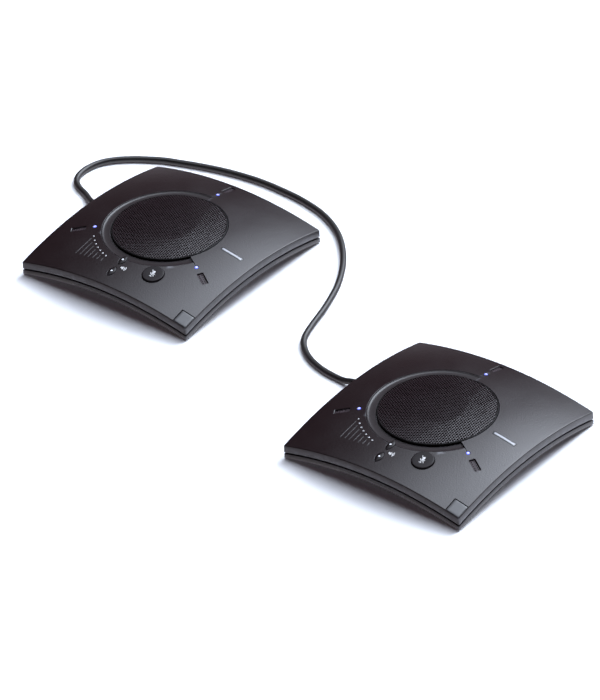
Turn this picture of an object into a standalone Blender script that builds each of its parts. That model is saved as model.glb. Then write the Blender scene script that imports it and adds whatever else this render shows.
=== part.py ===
"""Two square table speakerphones joined by one link cord.

Each pod is a domed square case on four rubber feet. It holds a round loudspeaker under a grille,
three microphones, three status lights, a row of level lights, a mute button and two volume
buttons. The origin lies midway between the pods, on the table. Metres, +Z up, front at -Y.
"""

from math import atan2, cos, pi, radians, sin, sqrt

import bmesh
import bpy
from mathutils import Matrix, Vector

# The pair
POD_SIDE = 0.235
POD_OFFSET = (0.23135, -0.05605)
HALF = POD_SIDE / 2
GAP = 0.0003

# How far cutters reach past a face, and past the whole case
CUT_REACH = 0.01
OUTSIDE = 0.02

# The case
CORNER_HEIGHT = 0.0168
ARCH = 0.015
CROWN = CORNER_HEIGHT + 2 * ARCH
WALL = 0.0022
SKIRT = 0.0085
GROOVE = 0.002
LEDGE = WALL + 0.0004
LIP_BELOW_FACE = 0.0062
CORE_LIP = 0.006
CORNER_LIFT = 0.0008
FLOOR_HEIGHT = 0.003
COVER_SEGMENTS = 12
BASE_SEGMENTS = 12
SLOPE_WIDTH = POD_SIDE / BASE_SEGMENTS

# The loudspeaker
GRILLE_RADIUS = 0.0653
GRILLE_SHEET = 0.0008
GRILLE_RIM = 0.003
GRILLE_EASE = 0.0006
BEZEL_RADIUS = 0.0758
BEZEL_DIP = 0.003
BEZEL_STEP = 0.0004
BEZEL_WALL, BEZEL_LEG = 0.0016, 0.0018
BEZEL_START, BEZEL_SWEEP = radians(90), radians(240)
FLANGE_TOP = 0.0368
CONE_RADIUS = 0.048
MAGNET_RADIUS = 0.028
MAGNET_TOP = 0.0185
MAGNET_STANDOFF = 0.001
FRAME_SHEET = 0.002
FRAME_FLANGE = 0.003
COIL_RADIUS, COIL_WALL = 0.013, 0.001
COIL_DEPTH, COIL_CLEARANCE = 0.004, 0.0005
WELL_RADIUS = 0.0128
# The cone's line above the magnet, out to the dust cap's foot, and its surround about the flange's top
DUST_CAP = [(0, 0.0105), (0.008, 0.0095), (0.013, 0.007)]
CONE_NECK = 0.0055
SURROUND = [(-0.008, -0.002), (-0.004, 0.0012), (0, -0.001), (-0.001, -0.002), (-0.004, 0), (-0.007, -0.0035)]

# Controls, whose places are counted from the bezel
BUTTON_TRAVEL = 0.001
BUTTON_FLANGE = 0.0011
BUTTON_DEPTH = 0.0038
BUTTON_CLEARANCE = 0.00035
BUTTON_SLACK = 0.0002
MUTE_RADIUS = 0.0123
MUTE_RISE = 0.002
MUTE_DISH, MUTE_EASE = 0.0004, 0.0008
MUTE_BEARING, MUTE_FROM_BEZEL = radians(-62.28), 0.0011
VOLUME_LENGTH, VOLUME_WIDTH = 0.015, 0.008
VOLUME_RISE = 0.0012
VOLUME_EASE = 0.0007
VOLUME_BEARING, VOLUME_FROM_BEZEL = radians(-91.725), 0.00226
VOLUME_PITCH = 0.0196
PAD_TOP = 0.028
PAD_THICKNESS = 0.0012
PAD_MARGIN = 0.0115
POST_RADIUS, SMALL_POST_RADIUS = 0.004, 0.0022

# Lights and microphones, in rings about the loudspeaker
STATION_ANGLES = {"right": radians(-30), "back": radians(90), "left": radians(210)}
LIGHT_RADIUS = 0.0019
LIGHT_RING = BEZEL_RADIUS + 0.00857
LIGHT_DEPTH = 0.005
LIGHT_CROWN = 0.0004
LIGHT_FLANGE = 0.0011
MIC_RING = LIGHT_RING + 0.01868
MIC_SIZE = (0.017, 0.0068)
MIC_FLOOR, MIC_BOTTOM = 0.0016, 0.005
LEVEL_COUNT = 7
LEVEL_PIP_RADIUS = 0.0009
LEVEL_FIRST, LEVEL_LAST = -0.06145, -0.0251
LEVEL_BAR_WIDTH, LEVEL_BAR_DEPTH = 0.003, 0.002

# Inlays, counted in from the sides
NAMEPLATE_FROM_SIDE, NAMEPLATE_Y = 0.0293, 0.001
NAMEPLATE_SIZE = (0.0285, 0.005)
BADGE_SIZE, BADGE_MARGIN = 0.0168, 0.001
INLAY_THICKNESS, INLAY_DEPTH = 0.0009, 0.001

# Sockets, plugs and cord
RECESS_DEPTH, RECESS_WIDTH, RECESS_TOP = 0.023, 0.049, 0.0147
RECESS_Y = 0.0215
JACK_Y, JACK_HEIGHT = 0.027, 0.01
JACK_SIZE = (0.017, 0.016, 0.009)
JACK_PROUD = 0.0005
USB_Y = 0.0053
USB_SIZE = (0.009, 0.0092, 0.0048)
PLUG_SIZE = (0.011, 0.0116, 0.0064)
USB_OPENING = (0.006, 0.0069, 0.0031)
BOOT_RADIUS, BOOT_END_RADIUS, BOOT_OVERHANG = 0.0042, 0.0039, 0.005
NOSE_START = 0.012
CORD_DIAMETER = 0.007
CORD_HEIGHT = CORD_DIAMETER / 2 + 0.0001
CORD_STEP = 0.0165

# Feet and boards
FOOT_RADIUS = 0.008
FOOT_FROM_SIDE = 0.0325
BOARD_THICKNESS = 0.0016
BOARD_MARGIN = 0.0045
BOARD_WIDTH = 0.031
BOARD_LENGTH = 0.0423
BOARD_CORNER = 0.0415
JACK_BOARD_MARGIN, JACK_BOARD_SETBACK = 0.002, 0.0032

# The cord's route on the table, from the left pod round its back to the right pod
CORD_ROUTE = [
    (-0.4085, 0.1055), (-0.4190, 0.1135), (-0.4250, 0.1250), (-0.4262, 0.1405),
    (-0.4220, 0.1570), (-0.4115, 0.1718), (-0.3946, 0.1855), (-0.3756, 0.1967),
    (-0.3549, 0.2058), (-0.3008, 0.2218), (-0.2525, 0.2288), (-0.2119, 0.2284),
    (-0.1768, 0.2245), (-0.1429, 0.2154), (-0.1109, 0.1985), (-0.0845, 0.1758),
    (-0.0610, 0.1471), (-0.0409, 0.1120), (-0.0258, 0.0715), (-0.0162, 0.0370),
    (-0.0075, 0.0126), (0.0055, -0.0035), (0.0256, -0.0167), (0.0500, -0.0248),
]
# Its legs down from the left boot and up to the right one, counted from the boots' tips
CORD_OUT = [(-0.006, 0, 0), (-0.016, 0.002, -0.0021), (-0.027, 0.008, -0.0049), (-0.040, 0.016, -0.0064)]
CORD_BACK = [(-0.032, 0.001, -0.0060), (-0.017, 0, -0.0020), (-0.006, 0, 0)]


def clear_scene():
    for obj in list(bpy.data.objects):
        bpy.data.objects.remove(obj, do_unlink=True)


def collection(name):
    made = bpy.data.collections.new(name)
    bpy.context.scene.collection.children.link(made)
    return made


def principled(name, colour, roughness, metallic=0.0):
    """A plain material with one Principled shader."""
    made = bpy.data.materials.new(name)
    made.use_nodes = True
    shader = made.node_tree.nodes["Principled BSDF"]
    shader.inputs["Base Color"].default_value = (*colour, 1)
    shader.inputs["Roughness"].default_value = roughness
    shader.inputs["Metallic"].default_value = metallic
    return made


class Pod:
    """One pod's empty, its name, and the collections that its pieces go in."""

    def __init__(self, name, centre, pieces, cutters):
        self.name, self.pieces, self.cutters = name, pieces, cutters
        self.empty = bpy.data.objects.new(f"{name}_pod", None)
        self.empty.location = (*centre, 0)
        pieces.objects.link(self.empty)

    def add(self, name, mesh, colour=None, place=None):
        """A piece, or a cutter where no colour is given, parented to the pod."""
        if isinstance(mesh, bmesh.types.BMesh):
            data = bpy.data.meshes.new(f"{self.name}_{name}")
            mesh.to_mesh(data)
            mesh.free()
            mesh = data
        obj = bpy.data.objects.new(f"{self.name}_{name}", mesh)
        obj.parent = self.empty
        obj.matrix_local = place or Matrix()
        if colour is None:
            self.cutters.objects.link(obj)
            obj.hide_render = True
            obj.display_type = "WIRE"
        else:
            self.pieces.objects.link(obj)
            obj.data.materials.append(principled(obj.name, *colour))
            obj.data.shade_smooth()
            obj.data.set_sharp_from_angle(angle=radians(30))
        return obj


# Colour, roughness and metallic value of each kind of piece
GRAPHITE = ((0.045, 0.040, 0.044), 0.42)
GRILLE_BLACK = ((0.022, 0.019, 0.020), 0.5, 0.6)
KEY_BLACK = ((0.025, 0.022, 0.023), 0.3)
LENS_BLUE = ((0.08, 0.12, 0.75), 0.2)
LENS_WHITE = ((0.8, 0.8, 0.82), 0.3)
MIC_BLACK = ((0.008, 0.008, 0.008), 0.7)
PLATE_GREY = ((0.22, 0.22, 0.24), 0.35, 0.4)
BADGE_GREY = ((0.07, 0.07, 0.075), 0.35)
CONE_BLACK = ((0.012, 0.012, 0.012), 0.8)
STEEL = ((0.35, 0.35, 0.36), 0.4, 1.0)
MAGNET_DARK = ((0.06, 0.06, 0.065), 0.5, 0.8)
BOARD_GREEN = ((0.01, 0.11, 0.04), 0.5)
SILICONE = ((0.25, 0.25, 0.26), 0.7)
RUBBER = ((0.015, 0.015, 0.015), 0.85)
SOCKET_BLACK = ((0.012, 0.012, 0.012), 0.5)
CORD_BLACK = ((0.018, 0.015, 0.014), 0.45)


def solidify(obj, thickness, offset=-1.0):
    shell = obj.modifiers.new("Solidify", "SOLIDIFY")
    shell.thickness = thickness
    shell.offset = offset
    shell.use_even_offset = True


def bevel(obj, width, segments=2):
    rounded = obj.modifiers.new("Bevel", "BEVEL")
    rounded.width = width
    rounded.segments = segments
    rounded.limit_method = "ANGLE"
    rounded.angle_limit = radians(50)


def combine(obj, other, operation):
    """Cuts the other object from this one, or joins it."""
    boolean = obj.modifiers.new(other.name, "BOOLEAN")
    boolean.object = other
    boolean.operation = operation
    boolean.solver = "EXACT"


def dome(x, y):
    """Height of the top face over a point of the pod's plan."""
    return CROWN - ARCH * (x * x + y * y) / HALF**2


def ring_point(angle, radius):
    """A point of the plan at an angle about the centre and this far from it."""
    return radius * cos(angle), radius * sin(angle)


def mute_place():
    return ring_point(MUTE_BEARING, BEZEL_RADIUS + MUTE_FROM_BEZEL + MUTE_RADIUS)


def volume_places():
    """Where volume up and volume down stand, one straight in front of the other."""
    x, y = ring_point(VOLUME_BEARING, BEZEL_RADIUS + VOLUME_FROM_BEZEL)
    return {"volume_up_button": (x, y), "volume_down_button": (x, y - VOLUME_PITCH)}


def face_normal(x, y):
    slope = 2 * ARCH / HALF**2
    return Vector((slope * x, slope * y, 1)).normalized()


def on_face(point, heading=0.0):
    """Stands a piece square on the top face, with its X axis towards the heading."""
    up = face_normal(*point)
    along = Vector((cos(heading), sin(heading), 0))
    along = (along - up * along.dot(up)).normalized()
    turn = Matrix((along, up.cross(along), up)).transposed().to_4x4()
    return Matrix.Translation((*point, dome(*point))) @ turn


def box(bm, low, high, place=None):
    """Adds a box between two corners."""
    low, high = Vector(low), Vector(high)
    size = Matrix.Diagonal((*(high - low), 1))
    where = Matrix.Translation((low + high) / 2) @ size
    bmesh.ops.create_cube(bm, size=1, matrix=(place or Matrix()) @ where)
    return bm


def rod(bm, radius, low, high, place=None, sides=24, end_radius=None):
    """Adds a cylinder or a cone along Z between two heights."""
    where = (place or Matrix()) @ Matrix.Translation((0, 0, (low + high) / 2))
    bmesh.ops.create_cone(
        bm,
        cap_ends=True,
        segments=sides,
        radius1=radius,
        radius2=radius if end_radius is None else end_radius,
        depth=high - low,
        matrix=where,
    )
    return bm


def turned(pod, name, profile, colour, steps, place=None, closed=False, sweep=2 * pi):
    """A piece turned about Z from a profile that runs down its outer side."""
    bm = bmesh.new()
    points = [bm.verts.new((radius, 0, height)) for radius, height in profile]
    for first, second in zip(points, points[1:]):
        bm.edges.new((first, second))
    if closed:
        bm.edges.new((points[-1], points[0]))
    obj = pod.add(name, bm, colour, place)
    screw = obj.modifiers.new("Screw", "SCREW")
    screw.angle = sweep
    screw.steps = steps
    screw.render_steps = steps
    screw.use_merge_vertices = sweep == 2 * pi
    screw.merge_threshold = 0.00001
    screw.use_smooth_shade = True
    return obj


def outline_mesh(name, points, low, high):
    """A closed mesh of a flat outline between two heights."""
    curve = bpy.data.curves.new(name, "CURVE")
    curve.dimensions = "2D"
    curve.fill_mode = "BOTH"
    curve.extrude = (high - low) / 2
    line = curve.splines.new("POLY")
    line.points.add(len(points) - 1)
    for knot, (x, y) in zip(line.points, points):
        knot.co = (x, y, 0, 1)
    line.use_cyclic_u = True
    flat = bpy.data.objects.new(name, curve)
    bpy.context.scene.collection.objects.link(flat)
    flat.location.z = (low + high) / 2
    graph = bpy.context.evaluated_depsgraph_get()
    mesh = bpy.data.meshes.new_from_object(flat.evaluated_get(graph))
    mesh.transform(flat.matrix_world)
    bpy.data.objects.remove(flat, do_unlink=True)
    bm = bmesh.new()
    bm.from_mesh(mesh)
    bmesh.ops.remove_doubles(bm, verts=bm.verts, dist=0.00001)
    bmesh.ops.recalc_face_normals(bm, faces=bm.faces)
    bm.to_mesh(mesh)
    bm.free()
    return mesh


def lens_outline(length, width, points=6):
    """Two equal arcs that meet in a point at each end of the Y axis."""
    radius = (length**2 + width**2) / (4 * width)
    half_angle = atan2(length / 2, radius - width / 2)
    sweep = [half_angle * (2 * i / points - 1) for i in range(points)]
    right = [(radius * cos(a) - radius + width / 2, radius * sin(a)) for a in sweep]
    return right + [(-x, -y) for x, y in right]


def square_sheet(segments, half, height_at):
    """An open square sheet of quads over the plan."""
    bm = bmesh.new()
    bmesh.ops.create_grid(bm, x_segments=segments, y_segments=segments, size=half)
    for vert in bm.verts:
        vert.co.z = height_at(vert.co.x, vert.co.y)
    return bm


def top_cover(pod):
    """The domed shell, its skirt, and every opening in its face."""
    bm = square_sheet(COVER_SEGMENTS, HALF, dome)
    bmesh.ops.extrude_edge_only(bm, edges=[e for e in bm.edges if e.is_boundary])
    for vert in {v for e in bm.edges if e.is_boundary for v in e.verts}:
        vert.co.z -= SKIRT
    bmesh.ops.recalc_face_normals(bm, faces=bm.faces)
    cover = pod.add("top_cover", bm, GRAPHITE)
    solidify(cover, WALL)
    combine(cover, speaker_opening(pod), "DIFFERENCE")
    combine(cover, bezel_opening(pod), "DIFFERENCE")
    combine(cover, face_openings(pod), "DIFFERENCE")


def speaker_opening(pod):
    return pod.add("speaker_opening", rod(bmesh.new(), GRILLE_RADIUS + GAP, 0.03, 0.06, sides=40))


def bezel_opening(pod):
    """The part ring that the bezel fills, as a thick turned sheet."""
    inner = GRILLE_RADIUS - 0.002
    middle = dome(GRILLE_RADIUS, 0)
    slack = 2 * GAP / GRILLE_RADIUS
    cutter = turned(
        pod,
        "bezel_opening",
        [(inner, middle), (BEZEL_RADIUS + GAP, middle)],
        None,
        27,
        Matrix.Rotation(BEZEL_START - slack / 2, 4, "Z"),
        sweep=BEZEL_SWEEP + slack,
    )
    solidify(cutter, 0.02, offset=0)
    return cutter


def face_openings(pod):
    """Holes for the buttons, lights and microphones, and the two inlays' pockets."""
    bm = bmesh.new()
    reach = CUT_REACH
    rod(bm, MUTE_RADIUS + BUTTON_CLEARANCE, -reach, reach, on_face(mute_place()), sides=24)
    for angle in STATION_ANGLES.values():
        rod(bm, LIGHT_RADIUS + GAP, -reach, reach, on_face(ring_point(angle, LIGHT_RING)), 8)
        length, width = (size / 2 for size in MIC_SIZE)
        place = on_face(ring_point(angle, MIC_RING), angle)
        box(bm, (-length, -width, -reach), (length, width, reach), place)
    for x, y in level_points():
        middle = Matrix.Translation((x, y, dome(x, y)))
        rod(bm, LEVEL_PIP_RADIUS + GAP, -reach, reach, middle, 8)
    for low, high in (nameplate_corners(), badge_corners()):
        low = [value - GAP for value in low]
        high = [value + GAP for value in high]
        add_tile(bm, low, high, reach, -INLAY_DEPTH)
    for point in volume_places().values():
        add_lens(bm, point)
    return pod.add("face_openings", bm)


def add_lens(bm, point):
    """Adds a volume button's hole, as a block through the face."""
    slack = 2 * BUTTON_CLEARANCE
    outline = lens_outline(VOLUME_LENGTH + slack, VOLUME_WIDTH + slack)
    mesh = outline_mesh("lens", outline, -CUT_REACH, CUT_REACH)
    mesh.transform(on_face(point))
    bm.from_mesh(mesh)
    bpy.data.meshes.remove(mesh)
    return bm


def base_height(x, y):
    """Height of the base's underside: arched at the sides, and flat inside them."""
    far, near = max(abs(x), abs(y)), min(abs(x), abs(y))
    edge = CORNER_LIFT + ARCH * (1 - (near / far) ** 2) if far else FLOOR_HEIGHT
    inward = min((HALF - far) / SLOPE_WIDTH, 1)
    return edge + (FLOOR_HEIGHT - edge) * inward


def base_blank(inset, lip_extra):
    """The base as one closed block, shrunk by the inset: underside, band, ledge and lip."""
    half = HALF - inset
    stretch = HALF / half
    bm = square_sheet(
        BASE_SEGMENTS, half, lambda x, y: base_height(x * stretch, y * stretch) + inset
    )
    band_top = SKIRT + GROOVE + inset
    band = raise_faces(bm, bm.faces[:], half, band_top)
    ledge = raise_faces(bm, band, half - LEDGE, band_top)
    bmesh.ops.delete(bm, geom=band, context="FACES")
    raise_faces(bm, ledge, half - LEDGE, LIP_BELOW_FACE - lip_extra)
    bmesh.ops.delete(bm, geom=ledge, context="FACES")
    bmesh.ops.triangulate(bm, faces=bm.faces)
    bmesh.ops.recalc_face_normals(bm, faces=bm.faces)
    return bm


def raise_faces(bm, faces, reach, below):
    """Extrudes the faces, lays them this far below the top face and draws them in to the reach."""
    made = bmesh.ops.extrude_face_region(bm, geom=faces)["geom"]
    for vert in (item for item in made if isinstance(item, bmesh.types.BMVert)):
        vert.co.z = dome(vert.co.x, vert.co.y) - below
        vert.co.x = max(-reach, min(reach, vert.co.x))
        vert.co.y = max(-reach, min(reach, vert.co.y))
    return [item for item in made if isinstance(item, bmesh.types.BMFace)]


def base_cover(pod):
    """The tray: the block, less the socket recess, the hollow and the sockets' windows."""
    core = pod.add("base_core", base_blank(WALL, CORE_LIP))
    combine(core, recess(pod, "recess_outside", WALL), "DIFFERENCE")
    base = pod.add("base_cover", base_blank(0, 0), GRAPHITE)
    combine(base, recess(pod, "recess", 0), "DIFFERENCE")
    combine(base, core, "DIFFERENCE")
    windows = bmesh.new()
    for low, high in (jack_corners(), usb_corners()):
        low = [value - GAP for value in low]
        high = [value + GAP for value in high]
        low[0] -= WALL
        box(windows, low, high)
    combine(base, pod.add("socket_windows", windows), "DIFFERENCE")


def recess(pod, name, grow):
    """The open space under the left side that the plugs reach the sockets through."""
    half_width = RECESS_WIDTH / 2 + grow
    low = (-HALF - OUTSIDE, RECESS_Y - half_width, -OUTSIDE)
    high = (-HALF + RECESS_DEPTH + grow, RECESS_Y + half_width, RECESS_TOP + grow)
    return pod.add(name, box(bmesh.new(), low, high))


def jack_corners():
    depth, width, height = JACK_SIZE
    front = -HALF + RECESS_DEPTH - JACK_PROUD
    low = [front, JACK_Y - width / 2, JACK_HEIGHT - height / 2]
    return low, [front + depth, JACK_Y + width / 2, JACK_HEIGHT + height / 2]


def usb_corners():
    depth, width, height = USB_SIZE
    front = -HALF + RECESS_DEPTH - JACK_PROUD
    top = JACK_HEIGHT + JACK_SIZE[2] / 2
    return [front, USB_Y - width / 2, top - height], [front + depth, USB_Y + width / 2, top]


def socket(pod, name, corners, opening):
    """A socket block with a blind opening in its front face."""
    low, high = corners
    block = pod.add(name, box(bmesh.new(), low, high), SOCKET_BLACK)
    depth, width, height = opening
    middle = [(a + b) / 2 for a, b in zip(low, high)]
    inside = box(
        bmesh.new(),
        (low[0] - WALL, middle[1] - width / 2, middle[2] - height / 2),
        (low[0] + depth, middle[1] + width / 2, middle[2] + height / 2),
    )
    combine(block, pod.add(f"{name}_opening", inside), "DIFFERENCE")


def sockets(pod):
    fit = [size + 2 * GAP for size in PLUG_SIZE]
    socket(pod, "link_jack", jack_corners(), fit)
    socket(pod, "usb_jack", usb_corners(), USB_OPENING)
    (left, front, _), (_, _, top) = usb_corners()
    (_, _, _), (right, back, _) = jack_corners()
    board = box(
        bmesh.new(),
        (left + JACK_BOARD_SETBACK, front - JACK_BOARD_MARGIN, top + GAP),
        (right + JACK_BOARD_MARGIN, back + JACK_BOARD_MARGIN, top + GAP + BOARD_THICKNESS),
    )
    pod.add("jack_board", board, BOARD_GREEN)


def plug_tip():
    """Where the boot ends and the cord begins, in the pod's own frame."""
    return Vector((-HALF - BOOT_OVERHANG, JACK_Y, JACK_HEIGHT))


def link_plug(pod):
    """The nose in the socket, and the boot round the cord."""
    mouth = jack_corners()[0][0]
    depth, width, height = PLUG_SIZE
    tip = plug_tip()
    nose = box(
        bmesh.new(),
        (tip.x + NOSE_START, tip.y - width / 2, tip.z - height / 2),
        (mouth + depth - GAP, tip.y + width / 2, tip.z + height / 2),
    )
    plug = pod.add("link_plug", nose, SOCKET_BLACK)
    along = Matrix.Translation(tip) @ Matrix.Rotation(pi / 2, 4, "Y")
    boot = rod(
        bmesh.new(), BOOT_END_RADIUS, 0, mouth - tip.x - GAP, along, 16, BOOT_RADIUS
    )
    combine(plug, pod.add("plug_boot", boot), "UNION")


def speaker_grille(pod):
    """Crowned disc, which follows the top face, with a rim rolled down at its edge."""
    radii = [GRILLE_RADIUS * i / 4 for i in range(4)]
    shoulder = GRILLE_RADIUS - GRILLE_EASE
    upper = [(r, dome(r, 0)) for r in radii]
    upper += [(shoulder, dome(shoulder, 0)), (GRILLE_RADIUS, dome(GRILLE_RADIUS, 0) - GRILLE_EASE)]
    foot = dome(GRILLE_RADIUS, 0) - GRILLE_RIM
    inner = GRILLE_RADIUS - GRILLE_SHEET
    lower = [(GRILLE_RADIUS, foot), (inner, foot), (inner, dome(inner, 0) - GRILLE_SHEET)]
    lower += [(r, dome(r, 0) - GRILLE_SHEET) for r in reversed(radii)]
    turned(pod, "speaker_grille", upper + lower, GRILLE_BLACK, 40)


def grille_bezel(pod):
    """The sloped ring round two thirds of the grille, notched where volume up reaches over it."""
    inner, outer = GRILLE_RADIUS + GAP, BEZEL_RADIUS
    profile = [
        (inner, dome(inner, 0) - BEZEL_DIP),
        (outer, dome(outer, 0) - BEZEL_STEP),
        (outer, dome(outer, 0) - BEZEL_STEP - BEZEL_LEG),
    ]
    slack = GAP / GRILLE_RADIUS
    bezel = turned(
        pod,
        "grille_bezel",
        profile,
        GRAPHITE,
        27,
        Matrix.Rotation(BEZEL_START + slack / 2, 4, "Z"),
        sweep=BEZEL_SWEEP - slack,
    )
    solidify(bezel, BEZEL_WALL)
    notch = add_lens(bmesh.new(), volume_places()["volume_up_button"])
    combine(bezel, pod.add("bezel_notch", notch), "DIFFERENCE")


def speaker(pod):
    """Basket with its flange, diaphragm with surround and dust cap, and magnet."""
    rim = CONE_RADIUS + FRAME_SHEET
    neck = COIL_RADIUS + COIL_WALL
    frame = [
        (GRILLE_RADIUS + FRAME_FLANGE, FLANGE_TOP),
        (GRILLE_RADIUS + FRAME_FLANGE, FLANGE_TOP - FRAME_SHEET),
        (rim + FRAME_SHEET, FLANGE_TOP - FRAME_SHEET),
        (MAGNET_RADIUS, MAGNET_TOP + GAP),
        (neck, MAGNET_TOP + GAP),
        (neck, MAGNET_TOP + FRAME_SHEET),
        (MAGNET_RADIUS - FRAME_SHEET / 2, MAGNET_TOP + FRAME_SHEET),
        (rim, FLANGE_TOP),
    ]
    turned(pod, "speaker_frame", frame, STEEL, 24, closed=True)
    cone = [(r, MAGNET_TOP + z) for r, z in DUST_CAP]
    cone += [(CONE_RADIUS + r, FLANGE_TOP + z) for r, z in SURROUND]
    cone += [
        (COIL_RADIUS, MAGNET_TOP + CONE_NECK),
        (COIL_RADIUS - COIL_WALL, MAGNET_TOP - COIL_DEPTH),
        (0, MAGNET_TOP - COIL_DEPTH),
    ]
    turned(pod, "speaker_cone", cone, CONE_BLACK, 24)
    foot = FLOOR_HEIGHT + WALL + MAGNET_STANDOFF
    well = MAGNET_TOP - COIL_DEPTH - COIL_CLEARANCE
    magnet = [
        (0, well),
        (WELL_RADIUS, well),
        (WELL_RADIUS, MAGNET_TOP),
        (MAGNET_RADIUS, MAGNET_TOP),
        (MAGNET_RADIUS, foot),
        (0, foot),
    ]
    turned(pod, "speaker_magnet", magnet, MAGNET_DARK, 20)


def buttons(pod):
    """Three buttons, each of which slides along the normal of the face under it."""
    radius, flange = MUTE_RADIUS, MUTE_RADIUS + BUTTON_FLANGE
    step = -WALL - GAP - BUTTON_SLACK
    profile = [
        (0, MUTE_RISE - MUTE_DISH),
        (radius * 0.7, MUTE_RISE - MUTE_DISH / 4),
        (radius - MUTE_EASE, MUTE_RISE),
        (radius, MUTE_RISE - MUTE_EASE),
        (radius, step),
        (flange, step),
        (flange, -BUTTON_DEPTH),
        (0, -BUTTON_DEPTH),
    ]
    turned(pod, "mute_button", profile, KEY_BLACK, 24, on_face(mute_place()))
    outline = lens_outline(VOLUME_LENGTH, VOLUME_WIDTH)
    for name, point in volume_places().items():
        cap = outline_mesh(name, outline, -BUTTON_DEPTH, VOLUME_RISE)
        bevel(pod.add(name, cap, KEY_BLACK, on_face(point)), VOLUME_EASE)


def pad_corners():
    """The pad's plan, which reaches past all three buttons."""
    (mute_x, mute_y), places = mute_place(), volume_places()
    (left, _), (_, front) = places["volume_up_button"], places["volume_down_button"]
    right, back = mute_x + PAD_MARGIN + SMALL_POST_RADIUS, mute_y + PAD_MARGIN
    return (left - PAD_MARGIN, front - PAD_MARGIN / 2), (right, back)


def button_pad(pod):
    """A flat silicone sheet with a post under each button."""
    posts = bmesh.new()
    places = [(mute_place(), POST_RADIUS)]
    places += [(point, SMALL_POST_RADIUS) for point in volume_places().values()]
    for (x, y), radius in places:
        lean = face_normal(x, y)
        head = dome(x, y) - BUTTON_DEPTH - BUTTON_TRAVEL - 2 * GAP
        foot = Vector((x, y, dome(x, y))) - lean * ((dome(x, y) - PAD_TOP) / lean.z)
        turn = lean.to_track_quat("Z", "Y").to_matrix().to_4x4()
        length = (head - PAD_TOP) / lean.z
        rod(posts, radius, -PAD_THICKNESS / 2, length, Matrix.Translation(foot) @ turn, 12)
    (left, front), (right, back) = pad_corners()
    low = (left, front, PAD_TOP - PAD_THICKNESS)
    pad = pod.add("button_pad", box(bmesh.new(), low, (right, back, PAD_TOP)), SILICONE)
    combine(pad, pod.add("pad_posts", posts), "UNION")


def main_board(pod):
    """The L-shaped board under the pad and down the left side."""
    top = PAD_TOP - PAD_THICKNESS - GAP
    (_, pad_front), (pad_right, pad_back) = pad_corners()
    front, right, back = pad_front - BOARD_MARGIN / 2, pad_right + BOARD_MARGIN, pad_back
    left = LIGHT_RING * cos(STATION_ANGLES["left"]) - BOARD_WIDTH
    inner = left + BOARD_WIDTH
    outline = [
        (left, BOARD_LENGTH),
        (left, front + BOARD_CORNER),
        (left + BOARD_CORNER, front),
        (right, front),
        (right, back),
        (inner, back),
        (inner, BOARD_LENGTH),
    ]
    pod.add("main_board", outline_mesh("board", outline, top - BOARD_THICKNESS, top), BOARD_GREEN)


def stations(pod):
    """A status light and a microphone at each of three angles about the centre."""
    for side, angle in STATION_ANGLES.items():
        flange = LIGHT_RADIUS + LIGHT_FLANGE
        pipe = [
            (0, LIGHT_CROWN),
            (LIGHT_RADIUS * 0.7, LIGHT_CROWN * 0.75),
            (LIGHT_RADIUS, 0),
            (LIGHT_RADIUS, -WALL - 2 * GAP),
            (flange, -WALL - 2 * GAP),
            (flange, -LIGHT_DEPTH),
            (0, -LIGHT_DEPTH),
        ]
        place = on_face(ring_point(angle, LIGHT_RING))
        turned(pod, f"status_light_{side}", pipe, LENS_BLUE, 8, place)
        place = on_face(ring_point(angle, MIC_RING), angle)
        pod.add(f"microphone_{side}", microphone_block(), MIC_BLACK, place)


def microphone_block():
    """A block that fills its slot up to a floor just below the face."""
    length, width = (size / 2 - GAP for size in MIC_SIZE)
    return box(bmesh.new(), (-length, -width, -MIC_BOTTOM), (length, width, -MIC_FLOOR))


def level_points():
    """Where the level lights stand: even steps across, on the status lights' circle."""
    step = (LEVEL_LAST - LEVEL_FIRST) / (LEVEL_COUNT - 1)
    across = [LEVEL_FIRST + step * i for i in range(LEVEL_COUNT)]
    return [(x, -sqrt(LIGHT_RING**2 - x**2)) for x in across]


def level_lights(pod):
    """An arched bar under the cover, with a pip up through it for each light."""
    points, radius = level_points(), LIGHT_RING
    angles = [atan2(y, x) for x, y in points]
    margin = LEVEL_BAR_WIDTH / 2 / radius
    top = dome(radius, 0) - WALL - 2 * GAP
    bar = turned(
        pod,
        "level_lights",
        [(radius - LEVEL_BAR_WIDTH / 2, top), (radius + LEVEL_BAR_WIDTH / 2, top)],
        LENS_WHITE,
        12,
        Matrix.Rotation(angles[0] - margin, 4, "Z"),
        sweep=angles[-1] - angles[0] + 2 * margin,
    )
    solidify(bar, LEVEL_BAR_DEPTH)
    pips = bmesh.new()
    for x, y in points:
        middle = Matrix.Translation((x, y, 0))
        rod(pips, LEVEL_PIP_RADIUS, top - LEVEL_BAR_DEPTH / 2, dome(x, y) + 0.0001, middle, 8)
    combine(bar, pod.add("level_pips", pips), "UNION")


def add_tile(bm, low, high, rise, sink):
    """Adds a tile that follows the top face, between a rise and a sink from it."""
    tile = bmesh.new()
    bmesh.ops.create_grid(tile, x_segments=3, y_segments=3, size=0.5)
    for vert in tile.verts:
        vert.co.x = low[0] + (vert.co.x + 0.5) * (high[0] - low[0])
        vert.co.y = low[1] + (vert.co.y + 0.5) * (high[1] - low[1])
        vert.co.z = dome(vert.co.x, vert.co.y) + sink
    made = bmesh.ops.extrude_face_region(tile, geom=tile.faces[:])["geom"]
    for vert in (item for item in made if isinstance(item, bmesh.types.BMVert)):
        vert.co.z += rise - sink
    bmesh.ops.recalc_face_normals(tile, faces=tile.faces)
    mesh = bpy.data.meshes.new("tile")
    tile.to_mesh(mesh)
    tile.free()
    bm.from_mesh(mesh)
    bpy.data.meshes.remove(mesh)
    return bm


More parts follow.
